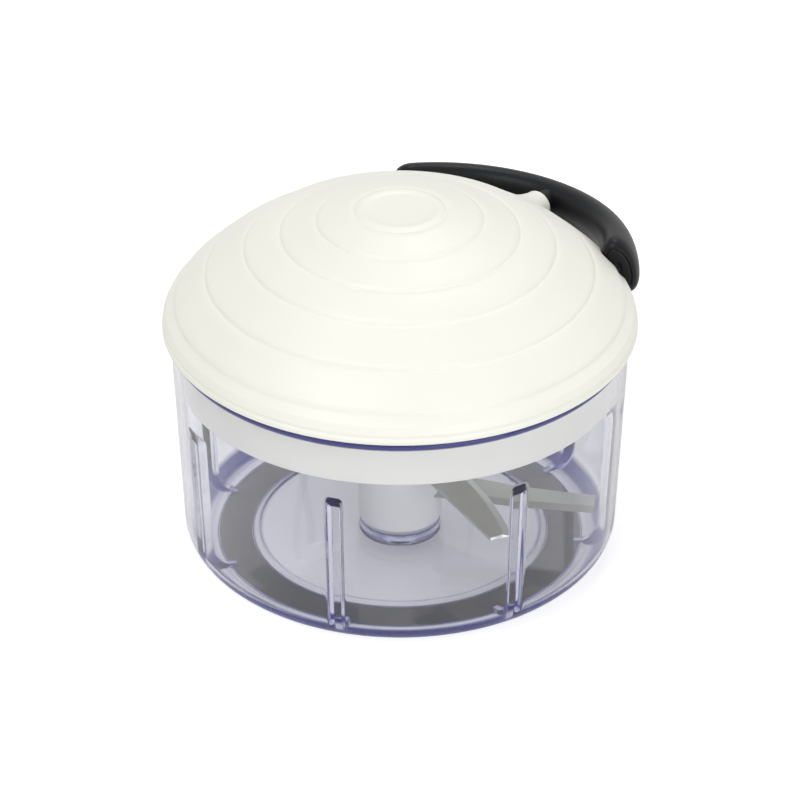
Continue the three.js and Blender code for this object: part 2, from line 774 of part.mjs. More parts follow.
function makeScrews() {
  anglesRound(lidScrewCount, firstLidScrewAngle).forEach((angle, i) => {
    const [x, y] = polar(lidScrewCircleRadius, angle);
    const length = fitGap + plateThickness + fitGap + screwEngagement;
    const piece = addPiece(`lid_screw_${i + 1}`, screw(length), brightSteel());
    piece.position.set(x, y, plateLowHeight - fitGap);
    piece.rotation.x = Math.PI;
  });
  anglesRound(postCount, firstPostAngle).forEach((angle, i) => {
    const [x, y] = polar(postCircleRadius, angle);
    const length = fitGap + mechanismCoverThickness + fitGap + screwEngagement - fitGap;
    const piece = addPiece(`mechanism_screw_${i + 1}`, screw(length), brightSteel());
    piece.position.set(x, y, mechanismCoverHigh + fitGap);
  });
}

// Drive: bush, shaft with its ratchet wheel, pawls, drum, spring and cover.

function makeBush() {
  const bore = shaftRadius + fitGap;
  const flangeLow = plateTopHeight + fitGap;
  const bush = turned([
    [bore, collarLowHeight],
    [bushRadius, collarLowHeight],
    [bushRadius, flangeLow],
    [bushRadius + bushFlangeWidth, flangeLow],
    [bushRadius + bushFlangeWidth, flangeLow + bushFlangeThickness],
    [bore, flangeLow + bushFlangeThickness],
  ], mediumSteps);
  addPiece('shaft_bushing', bush, innerPlastic());
}

// Saw teeth: each has a radial face and a slope down to the next.
function ratchetShape() {
  const rootRadius = ratchetTipRadius - ratchetToothDepth;
  const points = [];
  for (const angle of anglesRound(ratchetTeeth, pawlTipAngle)) {
    points.push(polar(rootRadius, angle), polar(ratchetTipRadius, angle));
  }
  return shapeOf(points);
}

function makeDriveShaft() {
  const shankLow = hubTopHeight + fitGap;
  const wheel = solid(slab(ratchetShape(), ratchetLowHeight, ratchetHighHeight));
  const shank = solid(rod(shaftRadius, shankLow, ratchetLowHeight + ratchetThickness / 2, smallSteps));
  const spigotTop = mechanismCoverLow - fitGap;
  const spigot = solid(rod(spigotRadius, ratchetLowHeight, spigotTop, smallSteps));
  const bit = solid(rod(bitRadius, bitLowHeight, shankLow + fitGap, bitSides));
  addPiece('drive_shaft', geometryOf(wheel.add(shank).add(spigot).add(bit)), innerPlastic());
}

// The point where a line from a given point touches a circle, on the side given by a sign.
function tangentPoint(centre, radius, point, side) {
  const away = Math.hypot(point[0] - centre[0], point[1] - centre[1]);
  const base = Math.atan2(point[1] - centre[1], point[0] - centre[0]);
  const [x, y] = polar(radius, base + side * Math.acos(radius / away));
  return [centre[0] + x, centre[1] + y];
}

function pawlShape() {
  const pivot = [pawlPivotRadius, 0];
  const eyeRadius = pawlPegRadius + fitGap + pawlEyeWall;
  const face = radians(pawlTipAngle);
  const tipRadius = ratchetTipRadius - ratchetToothDepth + pawlTipGap;
  const back = [fitGap * Math.sin(face), -fitGap * Math.cos(face)];
  const [ax, ay] = polar(tipRadius, face);
  const [bx, by] = polar(tipRadius + pawlTipDepth, face);
  const inner = [ax + back[0], ay + back[1]];
  const outer = [bx + back[0], by + back[1]];
  const innerTouch = tangentPoint(pivot, eyeRadius, inner, 1);
  const outerTouch = tangentPoint(pivot, eyeRadius, outer, -1);
  const from = Math.atan2(innerTouch[1], innerTouch[0] - pivot[0]);
  let to = Math.atan2(outerTouch[1], outerTouch[0] - pivot[0]);
  if (to < from) to += 2 * Math.PI;
  const round = arcBetween(pivot, eyeRadius, from, to, tinySteps / 2);
  const shape = shapeOf([inner, innerTouch, ...round, outerTouch, outer]);
  const eye = new THREE.Path();
  eye.absarc(pivot[0], pivot[1], pawlPegRadius + fitGap, 0, 2 * Math.PI, true);
  shape.holes.push(eye);
  return shape;
}

function makePawls() {
  const low = landTopHeight + fitGap;
  const high = webLowHeight - fitGap;
  anglesRound(pawlCount, 0).forEach((angle, i) => {
    const pawl = slab(pawlShape(), low, high);
    const piece = addPiece(`drive_pawl_${i + 1}`, pawl, brightSteel());
    piece.rotation.z = angle;
  });
}

function makeDrum() {
  const bore = spigotRadius + fitGap;
  const coreInner = drumCoreRadius - drumCoreWall;
  let drum = solid(turned([
    [bore, webLowHeight],
    [drumFlangeRadius, webLowHeight],
    [drumFlangeRadius, webHighHeight],
    [drumCoreRadius, webHighHeight],
    [drumCoreRadius, grooveHighHeight],
    [drumFlangeRadius, grooveHighHeight],
    [drumFlangeRadius, drumTopHeight],
    [coreInner, drumTopHeight],
    [coreInner, webHighHeight],
    [bore, webHighHeight],
  ], mediumSteps));
  for (const angle of anglesRound(pawlCount, 0)) {
    const [x, y] = polar(pawlPivotRadius, angle);
    const peg = rod(pawlPegRadius, landTopHeight + fitGap, webLowHeight + drumWebThickness / 2, tinySteps);
    drum = drum.add(solid(peg.translate(x, y, 0)));
  }
  const slotWidth = springThickness + 2 * fitGap;
  const slotReach = coreInner + springHookDepth + fitGap;
  const slot = new THREE.BoxGeometry(slotReach, slotWidth, drumTopHeight - webHighHeight);
  slot.translate(slotReach / 2, 0, (drumTopHeight + webHighHeight) / 2);
  const keep = solid(rod(coreInner - springEndGap, webLowHeight, drumTopHeight, mediumSteps));
  drum = drum.subtract(solid(slot).subtract(keep));
  const [endX, endY] = polar(windingRadius, leaveAngle - 2 * Math.PI * cordTurns);
  const endHoleLow = grooveHighHeight - cutOverrun;
  const endHole = rod(cordRadius + fitGap, endHoleLow, drumTopHeight + cutOverrun, tinySteps);
  drum = drum.subtract(solid(endHole.translate(endX, endY, 0)));
  addPiece('cord_drum', geometryOf(drum), innerPlastic());
}

// Flat spiral strip: an inner tang in the sleeve's slot, even turns, and an outer hook in the drum's slot.
function springPath() {
  const innerRadius = sleeveRadius + springEndGap;
  const outerRadius = drumCoreRadius - drumCoreWall - springEndGap;
  const steps = springTurns * springStepsPerTurn;
  const points = [polar(sleeveInnerRadius + fitGap, 0)];
  for (let i = 0; i <= steps; i += 1) {
    const t = i / steps;
    points.push(polar(innerRadius + (outerRadius - innerRadius) * t, 2 * Math.PI * springTurns * t));
  }
  points.push(polar(drumCoreRadius - drumCoreWall + springHookDepth, 0));
  return points;
}

function makeSpring() {
  const path = springPath();
  const left = offsetOutline(path, springThickness / 2);
  const right = offsetOutline(path, -springThickness / 2);
  const low = webHighHeight + drumClearance;
  const strip = slab(shapeOf([...left, ...right.reverse()]), low, low + springHeight);
  addPiece('recoil_spring', strip, brightSteel());
}

function makeMechanismCover() {
  const coverRadius = postCircleRadius + postRadius + coverEdgeWidth;
  const sleeveLow = webHighHeight + fitGap;
  let cover = solid(turned([
    [0, mechanismCoverLow],
    [sleeveInnerRadius, mechanismCoverLow],
    [sleeveInnerRadius, sleeveLow],
    [sleeveRadius, sleeveLow],
    [sleeveRadius, mechanismCoverLow],
    [coverRadius, mechanismCoverLow],
    [coverRadius, mechanismCoverHigh],
    [0, mechanismCoverHigh],
  ], mediumSteps));
  const holeLow = mechanismCoverLow - cutOverrun;
  const holeHigh = mechanismCoverHigh + cutOverrun;
  for (const angle of anglesRound(postCount, firstPostAngle)) {
    const [x, y] = polar(postCircleRadius, angle);
    const hole = rod(screwHoleRadius, holeLow, holeHigh, tinySteps).translate(x, y, 0);
    cover = cover.subtract(solid(hole));
  }
  const slotTop = webHighHeight + drumClearance + springHeight + fitGap;
  const slotWidth = springThickness + 2 * fitGap;
  const slot = new THREE.BoxGeometry(sleeveRadius + cutOverrun, slotWidth, slotTop - sleeveLow + cutOverrun);
  slot.translate((sleeveRadius + cutOverrun) / 2, 0, (slotTop + sleeveLow - cutOverrun) / 2);
  addPiece('mechanism_cover', geometryOf(cover.subtract(solid(slot))), innerPlastic());
}

// Cord.

function cordSection() {
  return shapeOf(anglesRound(cordSides, 0).map((angle) => polar(cordRadius, angle)));
}

function tube(curve, steps) {
  return new THREE.ExtrudeGeometry(cordSection(), { steps, extrudePath: curve, bevelEnabled: false });
}

// Turns on the drum, from the point where the cord leaves it, upwards and back round the core.
class Winding extends THREE.Curve {
  getPoint(t, target = new THREE.Vector3()) {
    const [x, y] = polar(windingRadius, leaveAngle - 2 * Math.PI * cordTurns * t);
    return target.set(x, y, cordHeight + cordPitch * cordTurns * t);
  }
}

// Least gap between parts of a tube that lie at least half a turn apart along it.
function leastGap(curve, samples, apart, thickness) {
  const points = curve.getSpacedPoints(samples);
  let least = Infinity;
  for (let i = 0; i < points.length; i += 1) {
    for (let k = i + apart; k < points.length; k += 1) {
      least = Math.min(least, points[i].distanceTo(points[k]) - thickness);
    }
  }
  return least;
}

function makeWinding() {
  const winding = new Winding();
  const steps = cordStepsPerTurn * cordTurns;
  const gap = leastGap(winding, steps, cordStepsPerTurn / 2, 2 * cordRadius);
  console.log(`wound_cord: least gap to itself ${gap.toFixed(2)} mm`);
  addPiece('wound_cord', tube(winding, steps), whiteCord());
}

function makePullCord() {
  const [startX, startY] = polar(windingRadius, leaveAngle);
  const start = new THREE.Vector3(startX, startY, cordHeight);
  const eyelet = new THREE.Vector3(eyeletStart, 0, cordHeight);
  const way = eyelet.clone().sub(start);
  const length = way.length();
  const points = [fitGap, length / 3, (2 * length) / 3, length - 3 * cordRadius].map(
    (distance) => start.clone().addScaledVector(way, distance / length),
  );
  const knotX = knotCentreX - knotRadius - fitGap;
  const straightStart = eyeletStart + 3 * cordRadius;
  for (const share of [0, 0.5, 1]) {
    points.push(new THREE.Vector3(straightStart + (knotX - straightStart) * share, 0, cordHeight));
  }
  const path = new THREE.CatmullRomCurve3(points, false, 'chordal');
  addPiece('pull_cord', tube(path, cordStepsPerTurn * 2), whiteCord());
}

// Handle.

// A capsule bent round the bow's centre, leaned towards the dome and grown on all sides by a distance.
function bentBow(grown) {
  const straight = bowRadius * radians(bowHalfAngle) - bowEndRound;
  const capsule = new THREE.CapsuleGeometry(1, 2, bowEndSteps, smallSteps, bowLengthSteps);
  const position = capsule.attributes.position;
  const lean = radians(bowLean);
  for (let i = 0; i < position.count; i += 1) {
    const [x, y, z] = [position.getX(i), position.getY(i), position.getZ(i)];
    const beyond = Math.max(Math.abs(y) - 1, 0);
    const along = Math.sign(y) * (Math.min(Math.abs(y), 1) * straight + beyond * (bowEndRound + grown));
    const share = along / (straight + bowEndRound);
    const fullness = 1 + bowInnerFullness * 2 * Math.min(x, 0) * Math.min(z, 0);
    const halfHeight = (bowHeight / 2) * (1 + bowEndSwellShare * share * share) + grown;
    const across = x * fullness * (bowWidth / 2 + grown);
    const up = z * fullness * halfHeight + Math.min(z, 0) * bowBelly;
    const radius = bowRadius + across * Math.cos(lean) - up * Math.sin(lean);
    const height = bowMiddleHeight + bowEndRise * share * share;
    const [bowX, bowY] = polar(radius, along / bowRadius);
    position.setXYZ(i, bowCentreX + bowX, bowY, height + across * Math.sin(lean) + up * Math.cos(lean));
  }
  return solid(capsule);
}

// What the handle keeps clear of: the dome behind the reliefs, and the ledge and rim below them.
function handleKeepOut() {
  const low = coverLowHeight - bowHeight;
  const rim = rod(lidRadius + handleDomeGap, low, reliefLowHeight + handleDomeGap, largeSteps);
  return shrunkDome(reliefDepth - handleDomeGap, low).add(solid(rim));
}

function makeHandle() {
  const bow = bentBow(0).subtract(handleKeepOut());
  const seatStart = nozzleReach + fitGap;
  const bore = cordRadius + fitGap;
  const beyond = bowOuterX + cutOverrun;
  const level = (geometry) => solid(geometry.translate(0, 0, cordHeight));
  const seat = level(turnedAboutX([
    [0, seatStart],
    [seatRadius - fitGap, seatStart],
    [seatRadius, seatStart + fitGap],
    [seatRadius, recessStart],
    [0, recessStart],
  ], smallSteps));
  const hole = level(turnedAboutX([
    [0, seatStart - cutOverrun],
    [bore, seatStart - cutOverrun],
    [bore, recessStart],
    [plugRadius + fitGap, recessStart],
    [plugRadius + fitGap, beyond],
    [0, beyond],
  ], smallSteps));
  addPiece('pull_handle', geometryOf(bow.add(seat).subtract(hole)), blackPlastic());
  const plugStart = knotCentreX + knotRadius + fitGap;
  const plug = level(turnedAboutX([
    [0, plugStart],
    [plugRadius, plugStart],
    [plugRadius, beyond],
    [0, beyond],
  ], smallSteps));
  addPiece('handle_plug', geometryOf(bow.intersect(plug)), blackPlastic());
  const knot = new THREE.SphereGeometry(knotRadius, tinySteps, tinySteps / 2);
  const piece = addPiece('cord_knot', geometryOf(solid(knot)), whiteCord());
  piece.position.set(knotCentreX, 0, cordHeight);
}

makeBowl();
makeStand();
makeBladeUnit();
makeLidCover();
makeEyelet();
makeLidBase();
makeScrews();
makeBush();
makeDriveShaft();
makePawls();
makeDrum();
makeSpring();
makeMechanismCover();
makeWinding();
makePullCord();
makeHandle();

export default chopper;
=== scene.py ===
"""Pull-cord food chopper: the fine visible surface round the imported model."""

from math import acos, atan2, cos, exp, hypot, pi, radians, sin, tan

import bmesh
import bpy
from mathutils import Matrix, Vector


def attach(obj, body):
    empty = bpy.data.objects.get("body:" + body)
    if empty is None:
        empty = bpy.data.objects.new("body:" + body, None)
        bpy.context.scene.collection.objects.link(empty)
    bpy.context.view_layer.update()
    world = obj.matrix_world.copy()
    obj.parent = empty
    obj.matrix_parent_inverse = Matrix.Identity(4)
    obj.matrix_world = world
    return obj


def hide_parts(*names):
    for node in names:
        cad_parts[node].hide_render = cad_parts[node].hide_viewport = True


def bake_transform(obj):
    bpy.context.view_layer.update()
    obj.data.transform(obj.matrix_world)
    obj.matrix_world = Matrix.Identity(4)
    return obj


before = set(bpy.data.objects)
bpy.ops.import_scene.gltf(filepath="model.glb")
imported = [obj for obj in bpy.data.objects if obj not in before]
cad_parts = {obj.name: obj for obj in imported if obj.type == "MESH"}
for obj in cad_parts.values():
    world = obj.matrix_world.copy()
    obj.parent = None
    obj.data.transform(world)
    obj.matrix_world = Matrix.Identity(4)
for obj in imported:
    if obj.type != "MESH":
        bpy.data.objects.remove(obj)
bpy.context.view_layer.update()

MM = 0.001

# Camera: the photograph's viewpoint, towards the object's axis.
CAMERA_DISTANCE = 1220.4 * MM
CAMERA_HEIGHT_ANGLE = radians(33.23)
CAMERA_PITCH = radians(31.38)
CAMERA_AZIMUTH = radians(52.7)
CAMERA_LENS = 180
CAMERA_SENSOR = 36

# Bowl, in millimetres as in the rest of this list.
BOWL_TOP = 72.6
BOWL_MOUTH = 67.9
BOWL_FOOT = 65.3
BOWL_FLAT = 56.3
BOWL_WALL = 1.9
BOWL_UNDERSIDE = 0.8
FLOOR_TOP = 3.3
DISC_TOP = 2.8
DISC_RADIUS = 42.7
BEAD_LOW = 71.0
BEAD_DEPTH = 0.7
INNER_FILLET = 6
RING_INNER = 45
RING_OUTER = 55
RING_TOP = 1.7
RIB_ANGLES = [radians(a) for a in (22.6, 65.5, 108.3, 151.5, 200.5, 248.7, 296.8, 339.7)]
RIB_BASE = 5.2
RIB_FACE = 2.5
RIB_DEPTH = 3.1
RIB_TOP = 52
RIB_SLANT = 4
RIB_FOOT = 7
PIN_RADIUS = 3
PIN_TOP = 26
PIN_FOOT = BOWL_UNDERSIDE + 1
PIN_GAP = 0.1
BOSS_RADIUS = 12.2
BOSS_TOP = 6.2
GAP = 0.3

# Blade unit.
HUB_RADIUS = 12.6
HUB_NECK = 8.4
HUB_LOW = 7.2
HUB_SHOULDER = 51
HUB_SLOPE = 3
HUB_TOP = 64.5
BIT_RADIUS = 4.3
SOCKET_LOW = 55.2
BLADE_THICKNESS = 1
BLADE_EDGE = 0.2
BLADE_REACH = 59.6
BEVEL = 2.4

# Lid.
LID_RADIUS = 70.2
COVER_LOW = 73.2
DOME_RISE = 38.3
COVER_WALL = 2.3
SEAT = 72.9
PLATE_TOP = 73.4
PLATE_LOW = 71.4
PLATE_SEAM = 40
FLANGE_RADIUS = 67.6
FLANGE_TOP = 74.7
SKIRT_LOW = 57.6
SKIRT_RADIUS = 64.78
SKIRT_WALL = 2
COLLAR_LOW = 65.8
BUSH_RADIUS = 6.4
COLLAR_WALL = 2
CORD_HEIGHT = 82.4
NOZZLE_REACH = 70.2
NOZZLE_TIP = 4.6
NOZZLE_FLARE = 5
NOZZLE_LENGTH = 14.2
NOZZLE_EDGE = 1.2
NOZZLE_ROUND = 8
NOZZLE_FLARE_SHARES = [
    (0, 0.9), (0.16, 0.7), (0.32, 0.5), (0.44, 0.35), (0.55, 0.24), (0.66, 0.15), (0.76, 0.08), (0.86, 0.02),
]

# The cutting solids reach this far past the lid, each 1 mm further than the last, so no two faces meet.
BEYOND = 12

# Handle, and the reliefs of the dome that its ends nest in.
BOW_CENTRE = 31.5
BOW_RADIUS = 46.8
BOW_HALF_ANGLE = radians(63.8)
BOW_MIDDLE_HEIGHT = 80.6
BOW_END_RISE = 1.8
BOW_WIDTH = 10
BOW_HEIGHT = 13.2
BOW_END_SWELL = 0.36
BOW_LEAN = radians(21.5)
BOW_BELLY = 1.95
BOW_INNER_FULLNESS = 0.14
HANDLE_GAP = 0.5
RELIEF_DEPTH = 3
RELIEF_WALL = 1.4
RELIEF_LEDGE = 0.8

# Cord: it slants from the drum to the eyelet's mouth, bends there and runs on along X to its end.
CORD_RADIUS = 0.9
WINDING_RADIUS = 19.2
EYELET_MOUTH = 62.6
CORD_OFF_DRUM = 0.3
CORD_BEND_START = 3
CORD_BEND = 2.7
CORD_FINISH = 75.5
SLANT_STEPS = 12
BEND_STEPS = 7
RUN_STEPS = 16
CORD_COUNT = 16
STRAND_DEPTH = 0.05
STRAND_TWIST = 0.9


# Camera, floor and light.

# Each lamp: name, degrees to the right of the camera, degrees up, distance and size in metres, watts.
LAMPS = [
    ("key_lamp", -38, 52, 1.7, 0.8, 8),
    ("fill_lamp", 30, 12, 1.9, 1.2, 12.5),
    ("top_lamp", 165, 62, 1.6, 0.5, 4.8),
]
AMBIENT = 0.55
FLOOR_HALF = 3
FLOOR_COLOUR = (0.85, 0.85, 0.85, 1)
FLOOR_GLOW = 0.33
FLOOR_GLOW_SEEN = 0.12
WHITE = (1, 1, 1, 1)


def make_camera():
    data = bpy.data.cameras.new("camera")
    data.lens = CAMERA_LENS
    data.sensor_width = CAMERA_SENSOR
    camera = bpy.data.objects.new("camera", data)
    bpy.context.collection.objects.link(camera)
    ground = CAMERA_DISTANCE * cos(CAMERA_HEIGHT_ANGLE)
    camera.location = (
        -ground * sin(CAMERA_AZIMUTH),
        -ground * cos(CAMERA_AZIMUTH),
        CAMERA_DISTANCE * sin(CAMERA_HEIGHT_ANGLE),
    )
    camera.rotation_euler = (pi / 2 - CAMERA_PITCH, 0, -CAMERA_AZIMUTH)
    bpy.context.scene.camera = camera


def area_light(name, azimuth, elevation, distance, size, power):
    """A square lamp that faces the object; azimuth is measured from the camera's side, to the right."""
    data = bpy.data.lights.new(name, "AREA")
    data.shape = "SQUARE"
    data.size = size
    data.energy = power
    lamp = bpy.data.objects.new(name, data)
    bpy.context.collection.objects.link(lamp)
    turn = -pi / 2 - CAMERA_AZIMUTH + azimuth
    direction = Vector((cos(turn) * cos(elevation), sin(turn) * cos(elevation), sin(elevation)))
    lamp.location = direction * distance
    lamp.rotation_euler = (-direction).to_track_quat("-Z", "Y").to_euler()


def seen_directly(nodes, links):
    """A value that is 1 for rays from the camera, from gloss and through clear pieces."""
    path = nodes.new("ShaderNodeLightPath")
    value = path.outputs["Is Camera Ray"]
    for name in ("Is Glossy Ray", "Is Transmission Ray"):
        larger = nodes.new("ShaderNodeMath")
        larger.operation = "MAXIMUM"
        links.new(value, larger.inputs[0])
        links.new(path.outputs[name], larger.inputs[1])
        value = larger.outputs[0]
    return value


def make_world():
    world = bpy.data.worlds.new("studio")
    bpy.context.scene.world = world
    world.use_nodes = True
    nodes, links = world.node_tree.nodes, world.node_tree.links
    nodes.clear()
    ambient = nodes.new("ShaderNodeBackground")
    ambient.inputs["Color"].default_value = WHITE
    ambient.inputs["Strength"].default_value = AMBIENT
    white = nodes.new("ShaderNodeBackground")
    white.inputs["Color"].default_value = WHITE
    white.inputs["Strength"].default_value = 1
    mix = nodes.new("ShaderNodeMixShader")
    output = nodes.new("ShaderNodeOutputWorld")
    links.new(seen_directly(nodes, links), mix.inputs["Fac"])
    links.new(ambient.outputs[0], mix.inputs[1])
    links.new(white.outputs[0], mix.inputs[2])
    links.new(mix.outputs[0], output.inputs["Surface"])


def make_floor():
    """A pale floor that glows where it is seen, so that it meets the white background."""
    mesh = bpy.data.meshes.new("floor")
    corners = [(x * FLOOR_HALF, y * FLOOR_HALF, 0) for x, y in ((-1, -1), (1, -1), (1, 1), (-1, 1))]
    mesh.from_pydata(corners, [], [(0, 1, 2, 3)])
    floor = bpy.data.objects.new("floor", mesh)
    bpy.context.collection.objects.link(floor)
    material = bpy.data.materials.new("floor")
    material.use_nodes = True
    nodes, links = material.node_tree.nodes, material.node_tree.links
    nodes.clear()
    diffuse = nodes.new("ShaderNodeBsdfDiffuse")
    diffuse.inputs["Color"].default_value = FLOOR_COLOUR
    glow = nodes.new("ShaderNodeEmission")
    glow.inputs["Color"].default_value = WHITE
    path = nodes.new("ShaderNodeLightPath")
    seen = nodes.new("ShaderNodeMath")
    seen.operation = "MULTIPLY_ADD"
    seen.inputs[1].default_value = FLOOR_GLOW
    links.new(path.outputs["Is Camera Ray"], seen.inputs[0])
    reflected = nodes.new("ShaderNodeMath")
    reflected.operation = "MULTIPLY"
    reflected.inputs[1].default_value = FLOOR_GLOW_SEEN
    links.new(seen_directly(nodes, links), reflected.inputs[0])
    links.new(reflected.outputs[0], seen.inputs[2])
    links.new(seen.outputs[0], glow.inputs["Strength"])
    add = nodes.new("ShaderNodeAddShader")
    output = nodes.new("ShaderNodeOutputMaterial")
    links.new(diffuse.outputs[0], add.inputs[0])
    links.new(glow.outputs[0], add.inputs[1])
    links.new(add.outputs[0], output.inputs["Surface"])
    mesh.materials.append(material)


def make_studio():
    make_camera()
    make_world()
    make_floor()
    for name, azimuth, elevation, distance, size, power in LAMPS:
        area_light(name, radians(azimuth), radians(elevation), distance, size, power)
    bpy.context.scene.view_settings.view_transform = "Standard"


# Materials.

NOISE_FROM = 0.3
NOISE_TO = 0.7

# Clear plastic: its own colour, the painted navy shade and painted navy glow at its edges, and a painted glow
# that stands in for the light on rays that bounce deep inside it.
CLEAR_COLOUR = (0.985, 0.985, 0.995)
CLEAR_ROUGHNESS = (0.01, 0.015, 0.03)
CLEAR_PATCHES = 60
CLEAR_IOR = 1.5
CLEAR_SHADOW = (0.985, 0.985, 0.99, 1)
CLEAR_DEPTH_COLOUR = (0.42, 0.42, 0.66, 1)
CLEAR_DENSITY = 45
EDGE_PAINTED_SHADE = (0.003, 0.003, 0.03, 1)
EDGE_PAINTED_GLOW = (0.013, 0.013, 0.085, 1)
DEEP_PAINTED_LIGHT = (0.30, 0.30, 0.42, 1)
PAINTED_LIGHT_DEPTH = 8.5

# Moulded plastics and rubber: material, darker and lighter colour, roughness, grain, bump, specular level.
MOULDED = {
    "white": ("white_plastic", (0.86, 0.858, 0.78), (0.88, 0.878, 0.80), 0.45, 900, 0.00001, 0.5),
    "hub": ("hub_plastic", (0.86, 0.87, 0.865), (0.89, 0.90, 0.895), 0.42, 1200, 0.00002, 0.5),
    "inner": ("inner_plastic", (0.64, 0.64, 0.60), (0.70, 0.70, 0.66), 0.5, 1200, 0.00003, 0.5),
    "black": ("black_plastic", (0.005, 0.0055, 0.0065), (0.008, 0.0085, 0.01), 0.38, 1500, 0.00004, 0.18),
    "rubber": ("grey_rubber", (0.03, 0.031, 0.034), (0.042, 0.043, 0.047), 0.7, 1800, 0.00008, 0.5),
}
MOULDED_PATCHES = 35
MOULDED_GLOSSIER = 0.04
MOULDED_ROUGHER = 0.05

# Steel: darker and lighter colour, roughness.
BRIGHT_STEEL = ((0.50, 0.51, 0.51), (0.60, 0.61, 0.61), 0.25)
BLADE_STEEL = ((0.47, 0.485, 0.455), (0.55, 0.565, 0.535), 0.36)
STEEL_LINES = 900
STEEL_STRETCH = (24, 1, 1)
STEEL_PATCHES = 45
STEEL_BUMP = 0.00003
STEEL_GLOSSIER = 0.06
STEEL_ROUGHER = 0.1

CORD_COLOURS = ((0.66, 0.64, 0.56), (0.78, 0.76, 0.68), (0.84, 0.82, 0.76))
CORD_ROUGHNESS = 0.85
CORD_SHEEN = 0.3
CORD_STRANDS = 2600
CORD_BUMP = 0.0002


def new_material(name, colour, roughness, metallic=0.0):
    material = bpy.data.materials.new(name)
    material.use_nodes = True
    shader = material.node_tree.nodes["Principled BSDF"]
    shader.inputs["Base Color"].default_value = (*colour, 1)
    shader.inputs["Roughness"].default_value = roughness
    shader.inputs["Metallic"].default_value = metallic
    return material, shader


def object_noise(material, scale, detail, stretch=(1, 1, 1), turn=0):
    """Noise in the object's own frame, stretched along its axes after a turn about Z."""
    nodes, links = material.node_tree.nodes, material.node_tree.links
    place = nodes.new("ShaderNodeTexCoord")
    mapping = nodes.new("ShaderNodeMapping")
    mapping.vector_type = "TEXTURE"
    mapping.inputs["Rotation"].default_value = (0, 0, turn)
    mapping.inputs["Scale"].default_value = stretch
    noise = nodes.new("ShaderNodeTexNoise")
    noise.inputs["Scale"].default_value = scale
    noise.inputs["Detail"].default_value = detail
    links.new(place.outputs["Object"], mapping.inputs["Vector"])
    links.new(mapping.outputs["Vector"], noise.inputs["Vector"])
    return noise


def add_bump(material, shader, noise, distance):
    nodes, links = material.node_tree.nodes, material.node_tree.links
    bump = nodes.new("ShaderNodeBump")
    bump.inputs["Distance"].default_value = distance
    bump.inputs["Strength"].default_value = 1
    links.new(noise.outputs["Fac"], bump.inputs["Height"])
    links.new(bump.outputs["Normal"], shader.inputs["Normal"])


def vary(material, shader, noise, socket, low, high):
    """Drives a socket by the noise: a number or a colour between two values."""
    nodes, links = material.node_tree.nodes, material.node_tree.links
    ramp = nodes.new("ShaderNodeValToRGB")
    for element, position, value in zip(ramp.color_ramp.elements, (NOISE_FROM, NOISE_TO), (low, high)):
        element.position = position
        element.color = (value, value, value, 1) if isinstance(value, (int, float)) else (*value, 1)
    links.new(noise.outputs["Fac"], ramp.inputs["Fac"])
    links.new(ramp.outputs["Color"], shader.inputs[socket])


def moulded(name, low, high, roughness, grain, bump, specular):
    """A moulded plastic: slight unevenness of colour and gloss, and a fine grain."""
    material, shader = new_material(name, high, roughness)
    shader.inputs["Specular IOR Level"].default_value = specular
    broad = object_noise(material, MOULDED_PATCHES, 2)
    vary(material, shader, broad, "Base Color", low, high)
    fine = object_noise(material, grain, 4)
    vary(material, shader, fine, "Roughness", roughness - MOULDED_GLOSSIER, roughness + MOULDED_ROUGHER)
    add_bump(material, shader, fine, bump)
    return material


